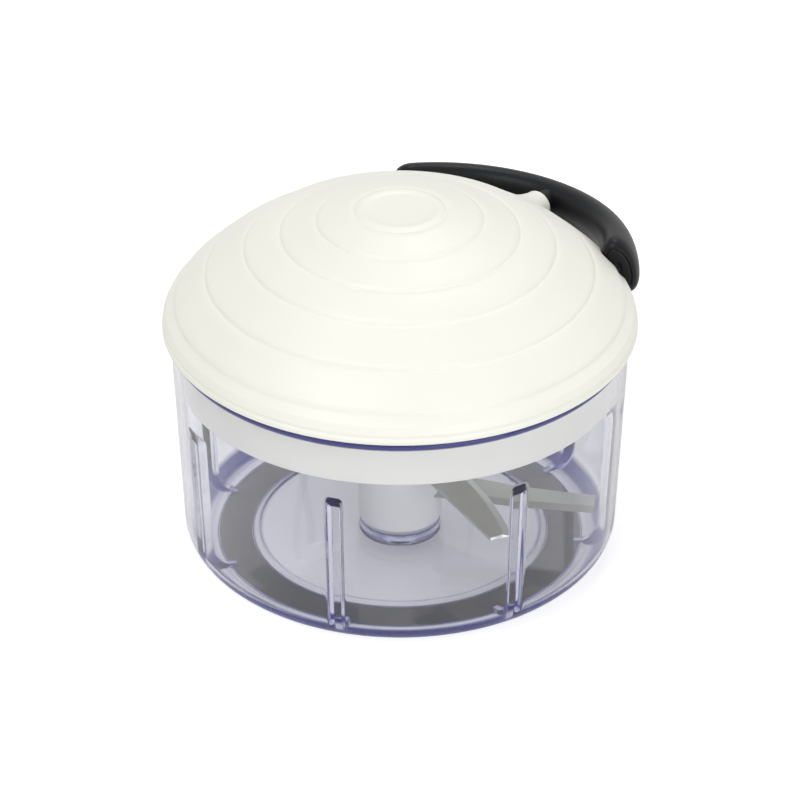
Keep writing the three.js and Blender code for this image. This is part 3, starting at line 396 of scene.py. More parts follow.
def clear_plastic():
    """Clear plastic with a trace of violet; its edges get painted navy shade and a painted navy glow, and
    rays deep inside it get a painted glow.
    """
    smoothest, middle, roughest = CLEAR_ROUGHNESS
    material, shader = new_material("clear_plastic", CLEAR_COLOUR, middle)
    shader.inputs["IOR"].default_value = CLEAR_IOR
    shader.inputs["Transmission Weight"].default_value = 1
    # Painted glow: the colour in which the bowl's edges glow.
    shader.inputs["Emission Color"].default_value = EDGE_PAINTED_GLOW
    nodes, links = material.node_tree.nodes, material.node_tree.links
    haze = object_noise(material, CLEAR_PATCHES, 2)
    vary(material, shader, haze, "Roughness", smoothest, roughest)
    # Painted shade: the bowl's edge attribute darkens the base colour to navy at its edges.
    edge = nodes.new("ShaderNodeAttribute")
    edge.attribute_name = "edge"
    edge_shade_mix = nodes.new("ShaderNodeMix")
    edge_shade_mix.data_type = "RGBA"
    edge_shade_mix.inputs[6].default_value = (*CLEAR_COLOUR, 1)
    edge_shade_mix.inputs[7].default_value = EDGE_PAINTED_SHADE
    links.new(edge.outputs["Fac"], edge_shade_mix.inputs[0])
    links.new(edge_shade_mix.outputs[2], shader.inputs["Base Color"])
    # Painted glow: the edge attribute also makes the edges glow navy.
    links.new(edge.outputs["Fac"], shader.inputs["Emission Strength"])
    see_through = nodes.new("ShaderNodeBsdfTransparent")
    see_through.inputs["Color"].default_value = CLEAR_SHADOW
    path = nodes.new("ShaderNodeLightPath")
    soft = nodes.new("ShaderNodeMath")
    soft.operation = "MAXIMUM"
    links.new(path.outputs["Is Shadow Ray"], soft.inputs[0])
    links.new(path.outputs["Is Diffuse Ray"], soft.inputs[1])
    # Painted light: rays past a depth inside the plastic glow with a fixed colour instead of ending dark.
    deep_painted_glow = nodes.new("ShaderNodeEmission")
    deep_painted_glow.inputs["Color"].default_value = DEEP_PAINTED_LIGHT
    deep = nodes.new("ShaderNodeMath")
    deep.operation = "GREATER_THAN"
    deep.inputs[1].default_value = PAINTED_LIGHT_DEPTH
    links.new(path.outputs["Ray Depth"], deep.inputs[0])
    inside = nodes.new("ShaderNodeMixShader")
    links.new(deep.outputs[0], inside.inputs["Fac"])
    links.new(shader.outputs[0], inside.inputs[1])
    links.new(deep_painted_glow.outputs[0], inside.inputs[2])
    mix = nodes.new("ShaderNodeMixShader")
    links.new(soft.outputs[0], mix.inputs["Fac"])
    links.new(inside.outputs[0], mix.inputs[1])
    links.new(see_through.outputs[0], mix.inputs[2])
    output = nodes["Material Output"]
    links.new(mix.outputs[0], output.inputs["Surface"])
    depth = nodes.new("ShaderNodeVolumeAbsorption")
    depth.inputs["Color"].default_value = CLEAR_DEPTH_COLOUR
    depth.inputs["Density"].default_value = CLEAR_DENSITY
    links.new(depth.outputs[0], output.inputs["Volume"])
    return material


def brushed_steel(name, low, high, roughness, turn=0):
    """Steel with fine lines along a direction."""
    material, shader = new_material(name, high, roughness, 1)
    lines = object_noise(material, STEEL_LINES, 4, STEEL_STRETCH, turn)
    broad = object_noise(material, STEEL_PATCHES, 3)
    vary(material, shader, broad, "Base Color", low, high)
    vary(material, shader, lines, "Roughness", roughness - STEEL_GLOSSIER, roughness + STEEL_ROUGHER)
    add_bump(material, shader, lines, STEEL_BUMP)
    return material


def woven_cord():
    low, middle, high = CORD_COLOURS
    material, shader = new_material("woven_cord", middle, CORD_ROUGHNESS)
    shader.inputs["Sheen Weight"].default_value = CORD_SHEEN
    strands = object_noise(material, CORD_STRANDS, 3)
    vary(material, shader, strands, "Base Color", low, high)
    add_bump(material, shader, strands, CORD_BUMP)
    return material


def make_materials():
    """The materials by their short names; each blade's has its own, brushed along the blade."""
    result = {"clear": clear_plastic()}
    for short, values in MOULDED.items():
        result[short] = moulded(*values)
    result["steel"] = brushed_steel("bright_steel", *BRIGHT_STEEL)
    for _, node, *_, azimuth in BLADES:
        result[node] = brushed_steel(f"{node}_steel", *BLADE_STEEL, radians(azimuth))
    result["cord"] = woven_cord()
    return result


# Mesh tools. Points are in millimetres until a mesh is made.

# Edges that bend by more than this stay sharp.
SHARP = radians(35)
BLADE_SHARP = radians(12)
BOW_SHARP = radians(50)
CORD_SHARP = radians(60)

WELD = 0.001
ON_AXIS = 1e-6


def new_object(name, vertices, faces, material, sharp=SHARP):
    mesh = bpy.data.meshes.new(name)
    mesh.from_pydata([tuple(c * MM for c in v) for v in vertices], [], faces)
    mesh.validate()
    shade(mesh, sharp)
    piece = bpy.data.objects.new(name, mesh)
    bpy.context.collection.objects.link(piece)
    mesh.materials.append(material)
    return piece


def shade(mesh, sharp):
    mesh.shade_smooth()
    mesh.set_sharp_from_angle(angle=sharp)


def weld(mesh):
    """Joins the points that a boolean leaves almost in one place."""
    reach = WELD * MM
    work = bmesh.new()
    work.from_mesh(mesh)
    bmesh.ops.remove_doubles(work, verts=work.verts, dist=reach)
    bmesh.ops.dissolve_degenerate(work, edges=work.edges, dist=reach)
    work.to_mesh(mesh)
    work.free()


def bake(piece):
    """Applies the piece's modifiers."""
    bpy.context.view_layer.update()
    graph = bpy.context.evaluated_depsgraph_get()
    mesh = bpy.data.meshes.new_from_object(piece.evaluated_get(graph))
    old = piece.data
    piece.modifiers.clear()
    piece.data = mesh
    mesh.name = piece.name
    bpy.data.meshes.remove(old)
    weld(mesh)
    shade(mesh, SHARP)


def combine(piece, tool, operation):
    """Adds another solid to a piece or cuts it off; the other is used up."""
    modifier = piece.modifiers.new("combine", "BOOLEAN")
    modifier.operation = operation
    modifier.solver = "EXACT"
    modifier.object = tool
    bake(piece)
    old = tool.data
    bpy.data.objects.remove(tool)
    bpy.data.meshes.remove(old)
    return piece


def arc_points(centre, radius, start, end, count):
    """Points of an arc in the profile's plane, both ends with them."""
    return [
        (centre[0] + radius * cos(start + (end - start) * i / count),
         centre[1] + radius * sin(start + (end - start) * i / count))
        for i in range(count + 1)
    ]


def rounded(points, radii, steps):
    """Rounds the corners of an open outline, each by its own radius."""
    result = [points[0]]
    for i in range(1, len(points) - 1):
        before, corner, after = (Vector(p) for p in points[i - 1:i + 2])
        incoming, outgoing = (before - corner), (after - corner)
        angle = incoming.angle(outgoing, pi)
        if radii[i] <= 0 or angle > radians(179) or angle < radians(1):
            result.append(tuple(corner))
            continue
        most = 0.49 * min(incoming.length, outgoing.length)
        reach = min(radii[i] / tan(angle / 2), most)
        first = corner + incoming.normalized() * reach
        last = corner + outgoing.normalized() * reach
        for k in range(steps + 1):
            t = k / steps
            result.append(tuple(first * (1 - t) ** 2 + corner * 2 * t * (1 - t) + last * t ** 2))
    result.append(points[-1])
    return result


def even_angles(count):
    return [2 * pi * i / count for i in range(count)]


def lathe(name, profile, material, angles, closed=False, move=None):
    """Turns a profile about Z. A closed profile is a ring; an open one starts and ends on the axis."""
    vertices, rings = [], []
    for i, (radius, height) in enumerate(profile):
        if radius < ON_AXIS:
            rings.append([len(vertices)] * len(angles))
            vertices.append((0, 0, height))
            continue
        ring = []
        for angle in angles:
            r, z = move(i, angle) if move else (radius, height)
            ring.append(len(vertices))
            vertices.append((r * cos(angle), r * sin(angle), z))
        rings.append(ring)
    pairs = list(zip(rings, rings[1:])) + ([(rings[-1], rings[0])] if closed else [])
    faces = []
    for low, high in pairs:
        for k in range(len(angles)):
            n = (k + 1) % len(angles)
            face = []
            for corner in (low[k], low[n], high[n], high[k]):
                if corner not in face:
                    face.append(corner)
            if len(face) > 2:
                faces.append(face)
    return new_object(name, vertices, faces, material)


def tube_faces(rows, count):
    """The faces between rows of points that lie round a tube."""
    faces = []
    for i in range(rows - 1):
        low, high = i * count, (i + 1) * count
        for k in range(count):
            n = (k + 1) % count
            faces.append([low + k, low + n, high + n, high + k])
    return faces


def facing_out(piece):
    """Turns the faces of a closed piece outwards."""
    mesh = bmesh.new()
    mesh.from_mesh(piece.data)
    bmesh.ops.recalc_face_normals(mesh, faces=mesh.faces)
    mesh.to_mesh(piece.data)
    mesh.free()
    return piece


def placed(piece, body, slot, *nodes):
    """Says which body a finished piece rides on and the nodes that it stands for, and turns its faces
    outwards; the slot is not used.
    """
    facing_out(piece)
    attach(piece, body)
    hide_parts(*nodes)


# Bowl.

# Distances from a rib's middle at which the wall has a column of points, and columns between two ribs.
RIB_COLUMNS = (0, 0.7, 0.95, 1.1, 1.2, 1.3, 1.4, 1.55, 1.8, 2.1, 2.35, 2.5, 2.6, 2.7, 2.85, 3.3, 4.2)
COLUMNS_BETWEEN = 15

# A rib's edges and top are averages over these shifts, which softens them.
EDGE_SHIFTS = (-0.18, -0.09, 0, 0.09, 0.18)
TOP_SHIFTS = (-0.24, -0.12, 0, 0.12, 0.24)

# Heights of the points on the wall's outside, and on its inside, where they are close at the ribs' tops.
OUTER_HEIGHTS = [14, 24, 34, 44, 54, 62, 68]
INNER_HEIGHTS = [
    14, 24, 34, 42, 46, 47.3, 47.7, 48, 48.3, 48.7, 49.5, 50.5, 51.3, 51.7, 52, 52.3, 52.8, 54, 58, 63, 68,
]
RIM_START = 69.5
RIM_BEND = 70.4
RIM_SLOPE = 0.5
FLAT_BESIDE = 0.6
FLAT_OUTSIDE = 0.5
OUTER_FILLET_STEPS = 18
INNER_FILLET_STEPS = 14
STEP_RUN = 0.8
STEP_SLOPE = 0.3

# Lines of painted navy shade on the bowl's edges: half the width, and the share of the painted shade in the
# middle.
GROOVE_LINE = (0.4, 0.7)
BOSS_LINE = (0.8, 0.9)
STEP_LINE = (0.7, 1)
RIB_FACE_LINE = (0.45, 0.8)
RIB_BASE_LINE = (0.45, 0.5)
RIB_FOOT_LINE = (0.9, 0.4)
RIB_TOP_SHARE = 0.9
RIM_INSIDE_SHARE = 0.3
BOSS_LINE_DROP = 0.6
STEP_LINE_INSET = 0.15
BAND_TOP = 6.6
BAND_RISE = 1.5
BAND_FALL = 1.6

# How far from a surface a point still counts as on it.
CLOSE = 0.4
BEAD_CLOSE = 0.35
FILLET_CLOSE = 0.5
GROOVE_CLOSE = 0.1
RIB_CLOSE = 0.05


def wall_radius(height):
    low = BOWL_UNDERSIDE + BOWL_FOOT - BOWL_FLAT
    return BOWL_FOOT + (BOWL_MOUTH - BOWL_FOOT) * (height - low) / (BEAD_LOW - low)


def middle_radius():
    """The radius of the wall's inside at half its height."""
    return (BOWL_MOUTH + BOWL_FOOT) / 2 - BOWL_WALL


def rib_columns():
    """Angles round the bowl, close together at each rib's edges."""
    offsets = sorted({c for c in RIB_COLUMNS} | {-c for c in RIB_COLUMNS})
    start = offsets[-1] / middle_radius()
    angles = []
    for i, centre in enumerate(RIB_ANGLES):
        angles += [centre + o / middle_radius() for o in offsets]
        span = (RIB_ANGLES[(i + 1) % len(RIB_ANGLES)] - centre) % (2 * pi) - 2 * start
        angles += [centre + start + span * (k + 1) / (COLUMNS_BETWEEN + 1) for k in range(COLUMNS_BETWEEN)]
    return angles


def from_rib(angle):
    """The distance along the wall's inside to the middle of the nearest rib."""
    turns = [abs((angle - a + pi) % (2 * pi) - pi) for a in RIB_ANGLES]
    return min(turns) * middle_radius()


def across_rib(angle):
    """1 on a rib's face, falling to 0 down its two flanks, with soft edges."""
    away = from_rib(angle)
    flank = (RIB_BASE - RIB_FACE) / 2
    return sum(min(max((RIB_BASE / 2 - away - s) / flank, 0), 1) for s in EDGE_SHIFTS) / len(EDGE_SHIFTS)


def rib_share(height):
    """How far the rib stands out at a height on the wall: whole, then slanting back at its top."""
    return sum(min(max((RIB_TOP - height - s) / RIB_SLANT, 0), 1) for s in TOP_SHIFTS) / len(TOP_SHIFTS)


def on_line(line, value, middle):
    """A line's share of the painted edge shade at a place across it."""
    width, share = line
    return share * max(0, 1 - abs(value - middle) / width)


def painted_edge_shade(point):
    """How much painted navy shade the clear plastic shows at a point of the bowl's surface: rim, grooves,
    steps, rib edges and bottom band.
    """
    radius, height = hypot(point.x, point.y) / MM, point.z / MM
    fillet = BOWL_FOOT - BOWL_FLAT
    if height > BEAD_LOW - BEAD_CLOSE:
        return 1 if radius > BOWL_MOUTH - GAP else RIM_INSIDE_SHARE
    if height < RING_TOP + GAP + GROOVE_CLOSE and radius < RING_OUTER + GAP + CLOSE:
        return max(on_line(GROOVE_LINE, radius, side) for side in (RING_INNER - GAP, RING_OUTER + GAP))
    from_centre = hypot(radius - BOWL_FLAT, height - BOWL_UNDERSIDE - fillet)
    if radius > BOWL_FLAT and from_centre > fillet - FILLET_CLOSE:
        return max(0, min(1, (height - BOWL_UNDERSIDE) * BAND_RISE, (BAND_TOP - height) / BAND_FALL))
    if radius < BOSS_RADIUS + GAP:
        line = on_line(BOSS_LINE, height, BOSS_TOP - BOSS_LINE_DROP)
        return line if radius > BOSS_RADIUS - 2 * CLOSE else 0
    if height < FLOOR_TOP + CLOSE and radius < RING_INNER:
        return on_line(STEP_LINE, radius, DISC_RADIUS - STEP_LINE_INSET)
    if height > RIB_TOP + CLOSE or radius > wall_radius(height) - BOWL_WALL / 2:
        return 0
    away = from_rib(atan2(point.y, point.x))
    if height > RIB_TOP - RIB_SLANT - CLOSE:
        return RIB_TOP_SHARE if away < RIB_BASE / 2 + RIB_CLOSE else 0
    lines = on_line(RIB_FACE_LINE, away, RIB_FACE / 2) + on_line(RIB_BASE_LINE, away, RIB_BASE / 2)
    if height < FLOOR_TOP + CLOSE:
        lines += on_line(RIB_FOOT_LINE, radius, BOWL_FOOT - BOWL_WALL - INNER_FILLET)
    return min(1, lines)


def make_bowl(materials):
    """The clear bowl, turned from one profile that moves inwards at the ribs."""
    fillet = BOWL_FOOT - BOWL_FLAT
    fillet_top = BOWL_UNDERSIDE + fillet
    groove_top = RING_TOP + GAP
    groove_inner, groove_outer = RING_INNER - GAP, RING_OUTER + GAP
    inner_foot = BOWL_FOOT - BOWL_WALL
    outer_low = rounded([
        (0, BOWL_UNDERSIDE),
        (groove_inner - FLAT_BESIDE, BOWL_UNDERSIDE),
        (groove_inner, BOWL_UNDERSIDE),
        (groove_inner, groove_top),
        (groove_inner + FLAT_BESIDE, groove_top),
        (groove_outer - FLAT_BESIDE, groove_top),
        (groove_outer, groove_top),
        (groove_outer, BOWL_UNDERSIDE),
        (groove_outer + FLAT_OUTSIDE, BOWL_UNDERSIDE),
        (BOWL_FLAT, BOWL_UNDERSIDE),
    ], [0, 0, 0.25, 0.2, 0, 0, 0.2, 0.25, 0, 0], 3)[:-1]
    fillet_points = arc_points((BOWL_FLAT, fillet_top), fillet, -pi / 2, 0, OUTER_FILLET_STEPS)
    outer_wall = [(wall_radius(h), h) for h in OUTER_HEIGHTS]
    rim = rounded([
        (wall_radius(RIM_START), RIM_START),
        (wall_radius(RIM_BEND), RIM_BEND),
        (BOWL_MOUTH, BEAD_LOW),
        (BOWL_MOUTH + BEAD_DEPTH, BEAD_LOW + RIM_SLOPE),
        (BOWL_MOUTH + BEAD_DEPTH, BOWL_TOP),
        (BOWL_MOUTH - BOWL_WALL, BOWL_TOP),
        (wall_radius(RIM_BEND) - BOWL_WALL, RIM_BEND),
        (wall_radius(RIM_START) - BOWL_WALL, RIM_START),
    ], [0, 0, 0.4, 0.3, 0.5, 0.6, 0, 0], 4)
    inner_wall = [(wall_radius(h) - BOWL_WALL, h) for h in reversed(INNER_HEIGHTS)]
    inner_centre = (inner_foot - INNER_FILLET, FLOOR_TOP + INNER_FILLET)
    inner_fillet = arc_points(inner_centre, INNER_FILLET, 0, -pi / 2, INNER_FILLET_STEPS)
    rib_centre = (inner_foot - RIB_DEPTH - RIB_FOOT, FLOOR_TOP + RIB_FOOT)
    rib_fillet = arc_points(rib_centre, RIB_FOOT, 0, -pi / 2, INNER_FILLET_STEPS)
    floor = rounded([
        inner_fillet[-1],
        (inner_fillet[-1][0] - 1, FLOOR_TOP),
        (DISC_RADIUS + STEP_RUN, FLOOR_TOP),
        (DISC_RADIUS, FLOOR_TOP),
        (DISC_RADIUS - STEP_SLOPE, DISC_TOP),
        (DISC_RADIUS - STEP_SLOPE - STEP_RUN, DISC_TOP),
        (BOSS_RADIUS, DISC_TOP),
        (BOSS_RADIUS, BOSS_TOP - 1 - FLAT_BESIDE),
        (BOSS_RADIUS, BOSS_TOP - 1),
        (BOSS_RADIUS, BOSS_TOP),
        (BOSS_RADIUS - 1, BOSS_TOP),
        (PIN_RADIUS + PIN_GAP, BOSS_TOP),
        (PIN_RADIUS + PIN_GAP, PIN_FOOT),
        (0, PIN_FOOT),
    ], [0, 0, 0, 0.25, 0.2, 0, 0.8, 0, 0, 0.4, 0, 0.2, 0, 0], 4)[1:]
    profile = outer_low + fillet_points + outer_wall + rim + inner_wall + inner_fillet + floor
    first_inner = len(outer_low) + len(fillet_points) + len(outer_wall) + len(rim)
    first_fillet = first_inner + len(inner_wall)
    first_floor = first_fillet + len(inner_fillet)

    def move(i, angle):
        r, z = profile[i]
        if first_inner <= i < first_fillet:
            return r - RIB_DEPTH * across_rib(angle) * rib_share(z), z
        if first_fillet <= i < first_floor:
            share = across_rib(angle)
            rib_r, rib_z = rib_fillet[i - first_fillet]
            return r + (rib_r - r) * share, z + (rib_z - z) * share
        return r, z

    bowl = lathe("clear_bowl", profile, materials["clear"], rib_columns(), move=move)
    placed(bowl, "bowl", "clear_plastic", "bowl")
    # The edge attribute holds the painted navy shade at the bowl's edges, which the clear material reads.
    edge = bowl.data.attributes.new("edge", "FLOAT", "POINT")
    edge.data.foreach_set("value", [painted_edge_shade(vertex.co) for vertex in bowl.data.vertices])


def make_stand(materials):
    """The ring that the bowl stands on and the pin that the hub turns on."""
    ring = lathe("anti_slip_foot", rounded([
        ((RING_INNER + RING_OUTER) / 2, 0),
        (RING_OUTER, 0),
        (RING_OUTER, RING_TOP),
        (RING_INNER, RING_TOP),
        (RING_INNER, 0),
        ((RING_INNER + RING_OUTER) / 2, 0),
    ], [0, 0.35, 0.2, 0.2, 0.35, 0], 4)[:-1], materials["rubber"], even_angles(180), closed=True)
    placed(ring, "bowl", "grey_rubber", "anti_slip_ring")
    pin = lathe("steel_pin", rounded([
        (0, PIN_FOOT + GAP),
        (PIN_RADIUS, PIN_FOOT + GAP),
        (PIN_RADIUS, PIN_TOP),
        (0, PIN_TOP),
    ], [0, 0.2, 0.9, 0], 5), materials["steel"], even_angles(48))
    placed(pin, "bowl", "bright_steel", "center_pin")


# Blade unit.

def make_hub(materials):
    """The hub, bored from below for the pin, with a hexagonal socket in its top."""
    bore = PIN_RADIUS + GAP
    hub = lathe("hub_body", rounded([
        (0, PIN_TOP + GAP),
        (bore, PIN_TOP + GAP),
        (bore, HUB_LOW),
        (HUB_RADIUS, HUB_LOW),
        (HUB_RADIUS, HUB_SHOULDER),
        (HUB_NECK, HUB_SHOULDER + HUB_SLOPE),
        (HUB_NECK, HUB_TOP),
        (0, HUB_TOP),
    ], [0, 0.3, 0.4, 1.0, 1.5, 1.5, 0.6, 0], 5), materials["hub"], even_angles(96))
    facing_out(hub)
    reach = BIT_RADIUS + GAP / cos(pi / 6)
    socket = lathe("socket", [
        (0, SOCKET_LOW), (reach, SOCKET_LOW), (reach, HUB_TOP + 1), (0, HUB_TOP + 1),
    ], materials["hub"], even_angles(6))
    facing_out(socket)
    combine(hub, socket, "DIFFERENCE")
    placed(hub, "blade_unit", "hub_plastic", "blade_hub")


# Outlines of the blades: shares of the reach along the blade and of the width across it.
LOWER_CUTTING_SHARES = [(0.1, -0.44), (0.48, -0.44), (0.67, -0.43), (1, -0.32)]
LOWER_BACK_SHARES = [(0.99, 0.4), (0.63, 0.42), (0.36, 0.55), (0.1, 0.55)]
MIDDLE_CUTTING_SHARES = [(0.1, 0.68), (0.46, 0.66), (0.7, 0.53), (0.91, 0.28), (0.99, 0.13)]
MIDDLE_BACK_SHARES = [(0.97, -0.36), (0.5, -0.28), (0.1, -0.22)]

# Each blade: piece, node, cutting edge, back, width, height of its underside, degrees about Z.
BLADES = [
    ("steel_blade_lower", "lower_blade", LOWER_CUTTING_SHARES, LOWER_BACK_SHARES, 11.6, 17, -65.2),
    ("steel_blade_middle", "middle_blade", MIDDLE_CUTTING_SHARES, MIDDLE_BACK_SHARES, 12.6, 30.5, -111.7),
    ("steel_blade_upper", "upper_blade", MIDDLE_CUTTING_SHARES, MIDDLE_BACK_SHARES, 12.6, 44, 91),
]


def smooth_line(points, steps):
    """A soft curve through the points."""
    line = []
    for i in range(len(points) - 1):
        p0 = Vector(points[max(i - 1, 0)])
        p1, p2 = Vector(points[i]), Vector(points[i + 1])
        p3 = Vector(points[min(i + 2, len(points) - 1)])
        for k in range(steps):
            t = k / steps
            line.append(0.5 * (
                2 * p1 + (p2 - p0) * t + (2 * p0 - 5 * p1 + 4 * p2 - p3) * t ** 2
                + (3 * p1 - p0 - 3 * p2 + p3) * t ** 3
            ))
    line.append(Vector(points[-1]))
    return line


def make_blade(name, node, cutting, back, width, low, azimuth, material):
    """A flat blade with a ground bevel along its cutting edge."""
    edge = smooth_line([(a * BLADE_REACH, b * width) for a, b in cutting], 8)
    rest = smooth_line([(a * BLADE_REACH, b * width) for a, b in back], 6)
    inner = []
    for i, point in enumerate(edge):
        along = (edge[min(i + 1, len(edge) - 1)] - edge[max(i - 1, 0)]).normalized()
        inward = Vector((-along.y, along.x))
        if inward.dot(rest[len(rest) // 2] - point) < 0:
            inward = -inward
        inner.append(point + inward * BEVEL)
    high = low + BLADE_THICKNESS
    lip = low + BLADE_EDGE
    outline, raised = edge + rest, inner + rest
    count = len(outline)
    vertices = [(p.x, p.y, low) for p in outline]
    vertices += [(p.x, p.y, lip) for p in outline]
    vertices += [(p.x, p.y, high) for p in raised]
    faces = [list(range(count)), list(range(2 * count, 3 * count))]
    for level in (0, count):
        for i in range(count):
            n = (i + 1) % count
            faces.append([level + i, level + n, level + count + n, level + count + i])
    piece = new_object(name, vertices, faces, material, BLADE_SHARP)
    piece.data.transform(Matrix.Rotation(azimuth, 4, "Z"))
    placed(piece, "blade_unit", "blade_steel", node)


def make_blades(materials):
    for name, node, cutting, back, width, low, azimuth in BLADES:
        make_blade(name, node, cutting, back, width, low, radians(azimuth), materials[node])


# Lid.

# The dome's outline in shares of the lid's radius and of the dome's rise: rim, creases and centre button.
RIM_SHARES = [(0.985, 0.002), (1, 0.02), (1, 0.048), (0.992, 0.066), (0.996, 0.092), (0.981, 0.15)]
SIDE_TOP = (1, 0.086)
CREASE_SHARES = [(0.947, 0.21), (0.815, 0.451), (0.651, 0.661), (0.5, 0.785), (0.349, 0.896), (0.194, 0.978)]
BUTTON_SHARES = [(0.18, 0.993), (0.164, 0.999), (0.148, 0.995), (0.134, 0.988), (0.08, 0.985), (0, 0.984)]

# The swell of each step between two creases, with a riser at its foot and a lip at its top.
LARGEST_SWELL = 0.74
SWELL_SHARES = [0.74, 0.52, 1, 0.48, 0.6]
EDGE_SWELL = 1
LIP_SWELL = 0.5
STEP_EDGE = 1
SWELL_PLACES = (0.04, 0.08, 0.13, 0.19, 0.27, 0.4, 0.55, 0.7, 0.81, 0.88, 0.93, 0.97)
RIM_ROUNDS = [0, 0.3, 0.5, 0.6, 0.5, 0.6, 1.2]
CREASE_ROUND = 1.2
SWELL_ROUND = 3
BUTTON_ROUNDS = [1, 1.6, 1.6, 2.4, 20, 0]
INNER_SIDE_ROUND = 8
INNER_ROUND = 14
LID_COUNT = 192

# The bore through the nozzle, wider inside for the cord and outside for the handle's seat: radius, distance.
BORE_OUTLINE = [
    (0, 48.4), (4.2, 48.4), (4.2, 62.3), (2.9, 62.3), (2.9, 69.1), (3.7, 69.1), (3.7, 72), (0, 72),
]


def dome_point(share):
    return share[0] * LID_RADIUS, COVER_LOW + share[1] * DOME_RISE


def dome_profile():
    """The dome's outside, from its rim to the axis: soft steps that swell between their creases."""
    creases = [dome_point(s) for s in CREASE_SHARES]
    outline = [(0, COVER_LOW)] + [dome_point(s) for s in RIM_SHARES]
    radii = list(RIM_ROUNDS)
    for crease, ahead, share in zip(creases, creases[1:], SWELL_SHARES):
        outline.append(crease)
        radii.append(CREASE_ROUND)
        length = hypot(ahead[0] - crease[0], ahead[1] - crease[1])
        normal = ((ahead[1] - crease[1]) / length, (crease[0] - ahead[0]) / length)
        for t in SWELL_PLACES:
            swell = 4 * LARGEST_SWELL * share * t * (1 - t)
            swell += EDGE_SWELL * (1 - exp(-t * length / STEP_EDGE)) * (1 - t) ** 3
            swell += LIP_SWELL * (1 - exp(-(1 - t) * length / STEP_EDGE)) * t ** 2
            outline.append((
                crease[0] + (ahead[0] - crease[0]) * t + normal[0] * swell,
                crease[1] + (ahead[1] - crease[1]) * t + normal[1] * swell,
            ))
            radii.append(SWELL_ROUND)
    outline += [creases[-1]] + [dome_point(s) for s in BUTTON_SHARES]
    radii += [CREASE_ROUND] + BUTTON_ROUNDS
    return rounded(outline, radii, 4)


def shrunk_dome(name, depth, low, material):
    """The dome through its creases with its outside moved in by a depth, down to a height."""
    points = [dome_point(s) for s in [SIDE_TOP] + CREASE_SHARES]
    moved = []
    for i, (r, z) in enumerate(points):
        before, after = points[max(i - 1, 0)], points[min(i + 1, len(points) - 1)]
        length = hypot(after[0] - before[0], after[1] - before[1])
        inward = -(after[1] - before[1]) / length * depth
        downward = (after[0] - before[0]) / length * depth
        moved.append((r + inward, z + downward))
    side, top = LID_RADIUS - depth, COVER_LOW + DOME_RISE - depth - GAP
    outline = [(0, low), (side, low), (side, moved[0][1]), *moved[1:], (0, top)]
    radii = [0, 0, INNER_SIDE_ROUND] + [INNER_ROUND] * (len(moved) - 1) + [0]
    return facing_out(lathe(name, rounded(outline, radii, 4), material, even_angles(LID_COUNT)))


def rod(name, radius, low, high, material, count=96):
    outline = [(0, low), (radius, low), (radius, high), (0, high)]
    return facing_out(lathe(name, outline, material, even_angles(count)))


def along_cord(piece):
    """Turns a piece made about Z so that it lies about the cord's line."""
    piece.data.transform(Matrix.Rotation(pi / 2, 4, "Y"))
    piece.data.transform(Matrix.Translation((0, 0, CORD_HEIGHT * MM)))
    return facing_out(piece)


def make_nozzle(material):
    """A flared nozzle with a round edge, cut off below so that it stays clear of the base plate's flange."""
    start, tip = NOZZLE_REACH - NOZZLE_LENGTH, NOZZLE_REACH
    outline = [(0, start)]
    for along, out in NOZZLE_FLARE_SHARES:
        outline.append((NOZZLE_TIP + NOZZLE_FLARE * out, start + NOZZLE_LENGTH * along))
    outline += [(NOZZLE_TIP, tip), (0, tip)]
    radii = [0, 0] + [NOZZLE_ROUND] * (len(NOZZLE_FLARE_SHARES) - 1) + [NOZZLE_EDGE, 0]
    nozzle = along_cord(lathe("nozzle", rounded(outline, radii, 6), material, even_angles(128)))
    below = rod("below_nozzle", LID_RADIUS, COVER_LOW - BEYOND, FLANGE_TOP + GAP, material, LID_COUNT)
    return combine(nozzle, below, "DIFFERENCE")


def make_lid_cover(materials):
    """The dome, hollow but for a backing behind the reliefs of the handle, with its nozzle."""
    white = materials["white"]
    cover = facing_out(lathe("domed_cover", dome_profile(), white, even_angles(240)))
    backing = bow_solid("backing", HANDLE_GAP + RELIEF_WALL, ROOM_SHAPE, 0, white)
    behind = shrunk_dome("behind_backing", RELIEF_DEPTH + RELIEF_WALL, COVER_LOW - BEYOND - 2, white)
    combine(backing, behind, "DIFFERENCE")
    low = COVER_LOW - BEYOND - 1
    room = rod("flange_room", LID_RADIUS + BEYOND + 1, low, FLANGE_TOP + GAP, white, LID_COUNT)
    combine(backing, room, "DIFFERENCE")
    hollow = shrunk_dome("hollow", COVER_WALL, COVER_LOW - 1, white)
    combine(hollow, backing, "DIFFERENCE")
    combine(cover, hollow, "DIFFERENCE")
    relief = bow_solid("relief", HANDLE_GAP, ROOM_SHAPE, 0, white)
    behind = shrunk_dome("behind_relief", RELIEF_DEPTH, COVER_LOW - BEYOND - 3, white)
    combine(relief, behind, "DIFFERENCE")
    low = COVER_LOW - BEYOND - 4
    ledge = rod("ledge", LID_RADIUS + BEYOND, low, FLANGE_TOP + GAP + RELIEF_LEDGE, white)
    combine(relief, ledge, "DIFFERENCE")
    combine(cover, relief, "DIFFERENCE")
    combine(cover, make_nozzle(white), "UNION")
    bore = lathe("bore", BORE_OUTLINE, white, even_angles(48))
    combine(cover, along_cord(bore), "DIFFERENCE")
    placed(cover, "lid", "white_plastic", "lid_cover")


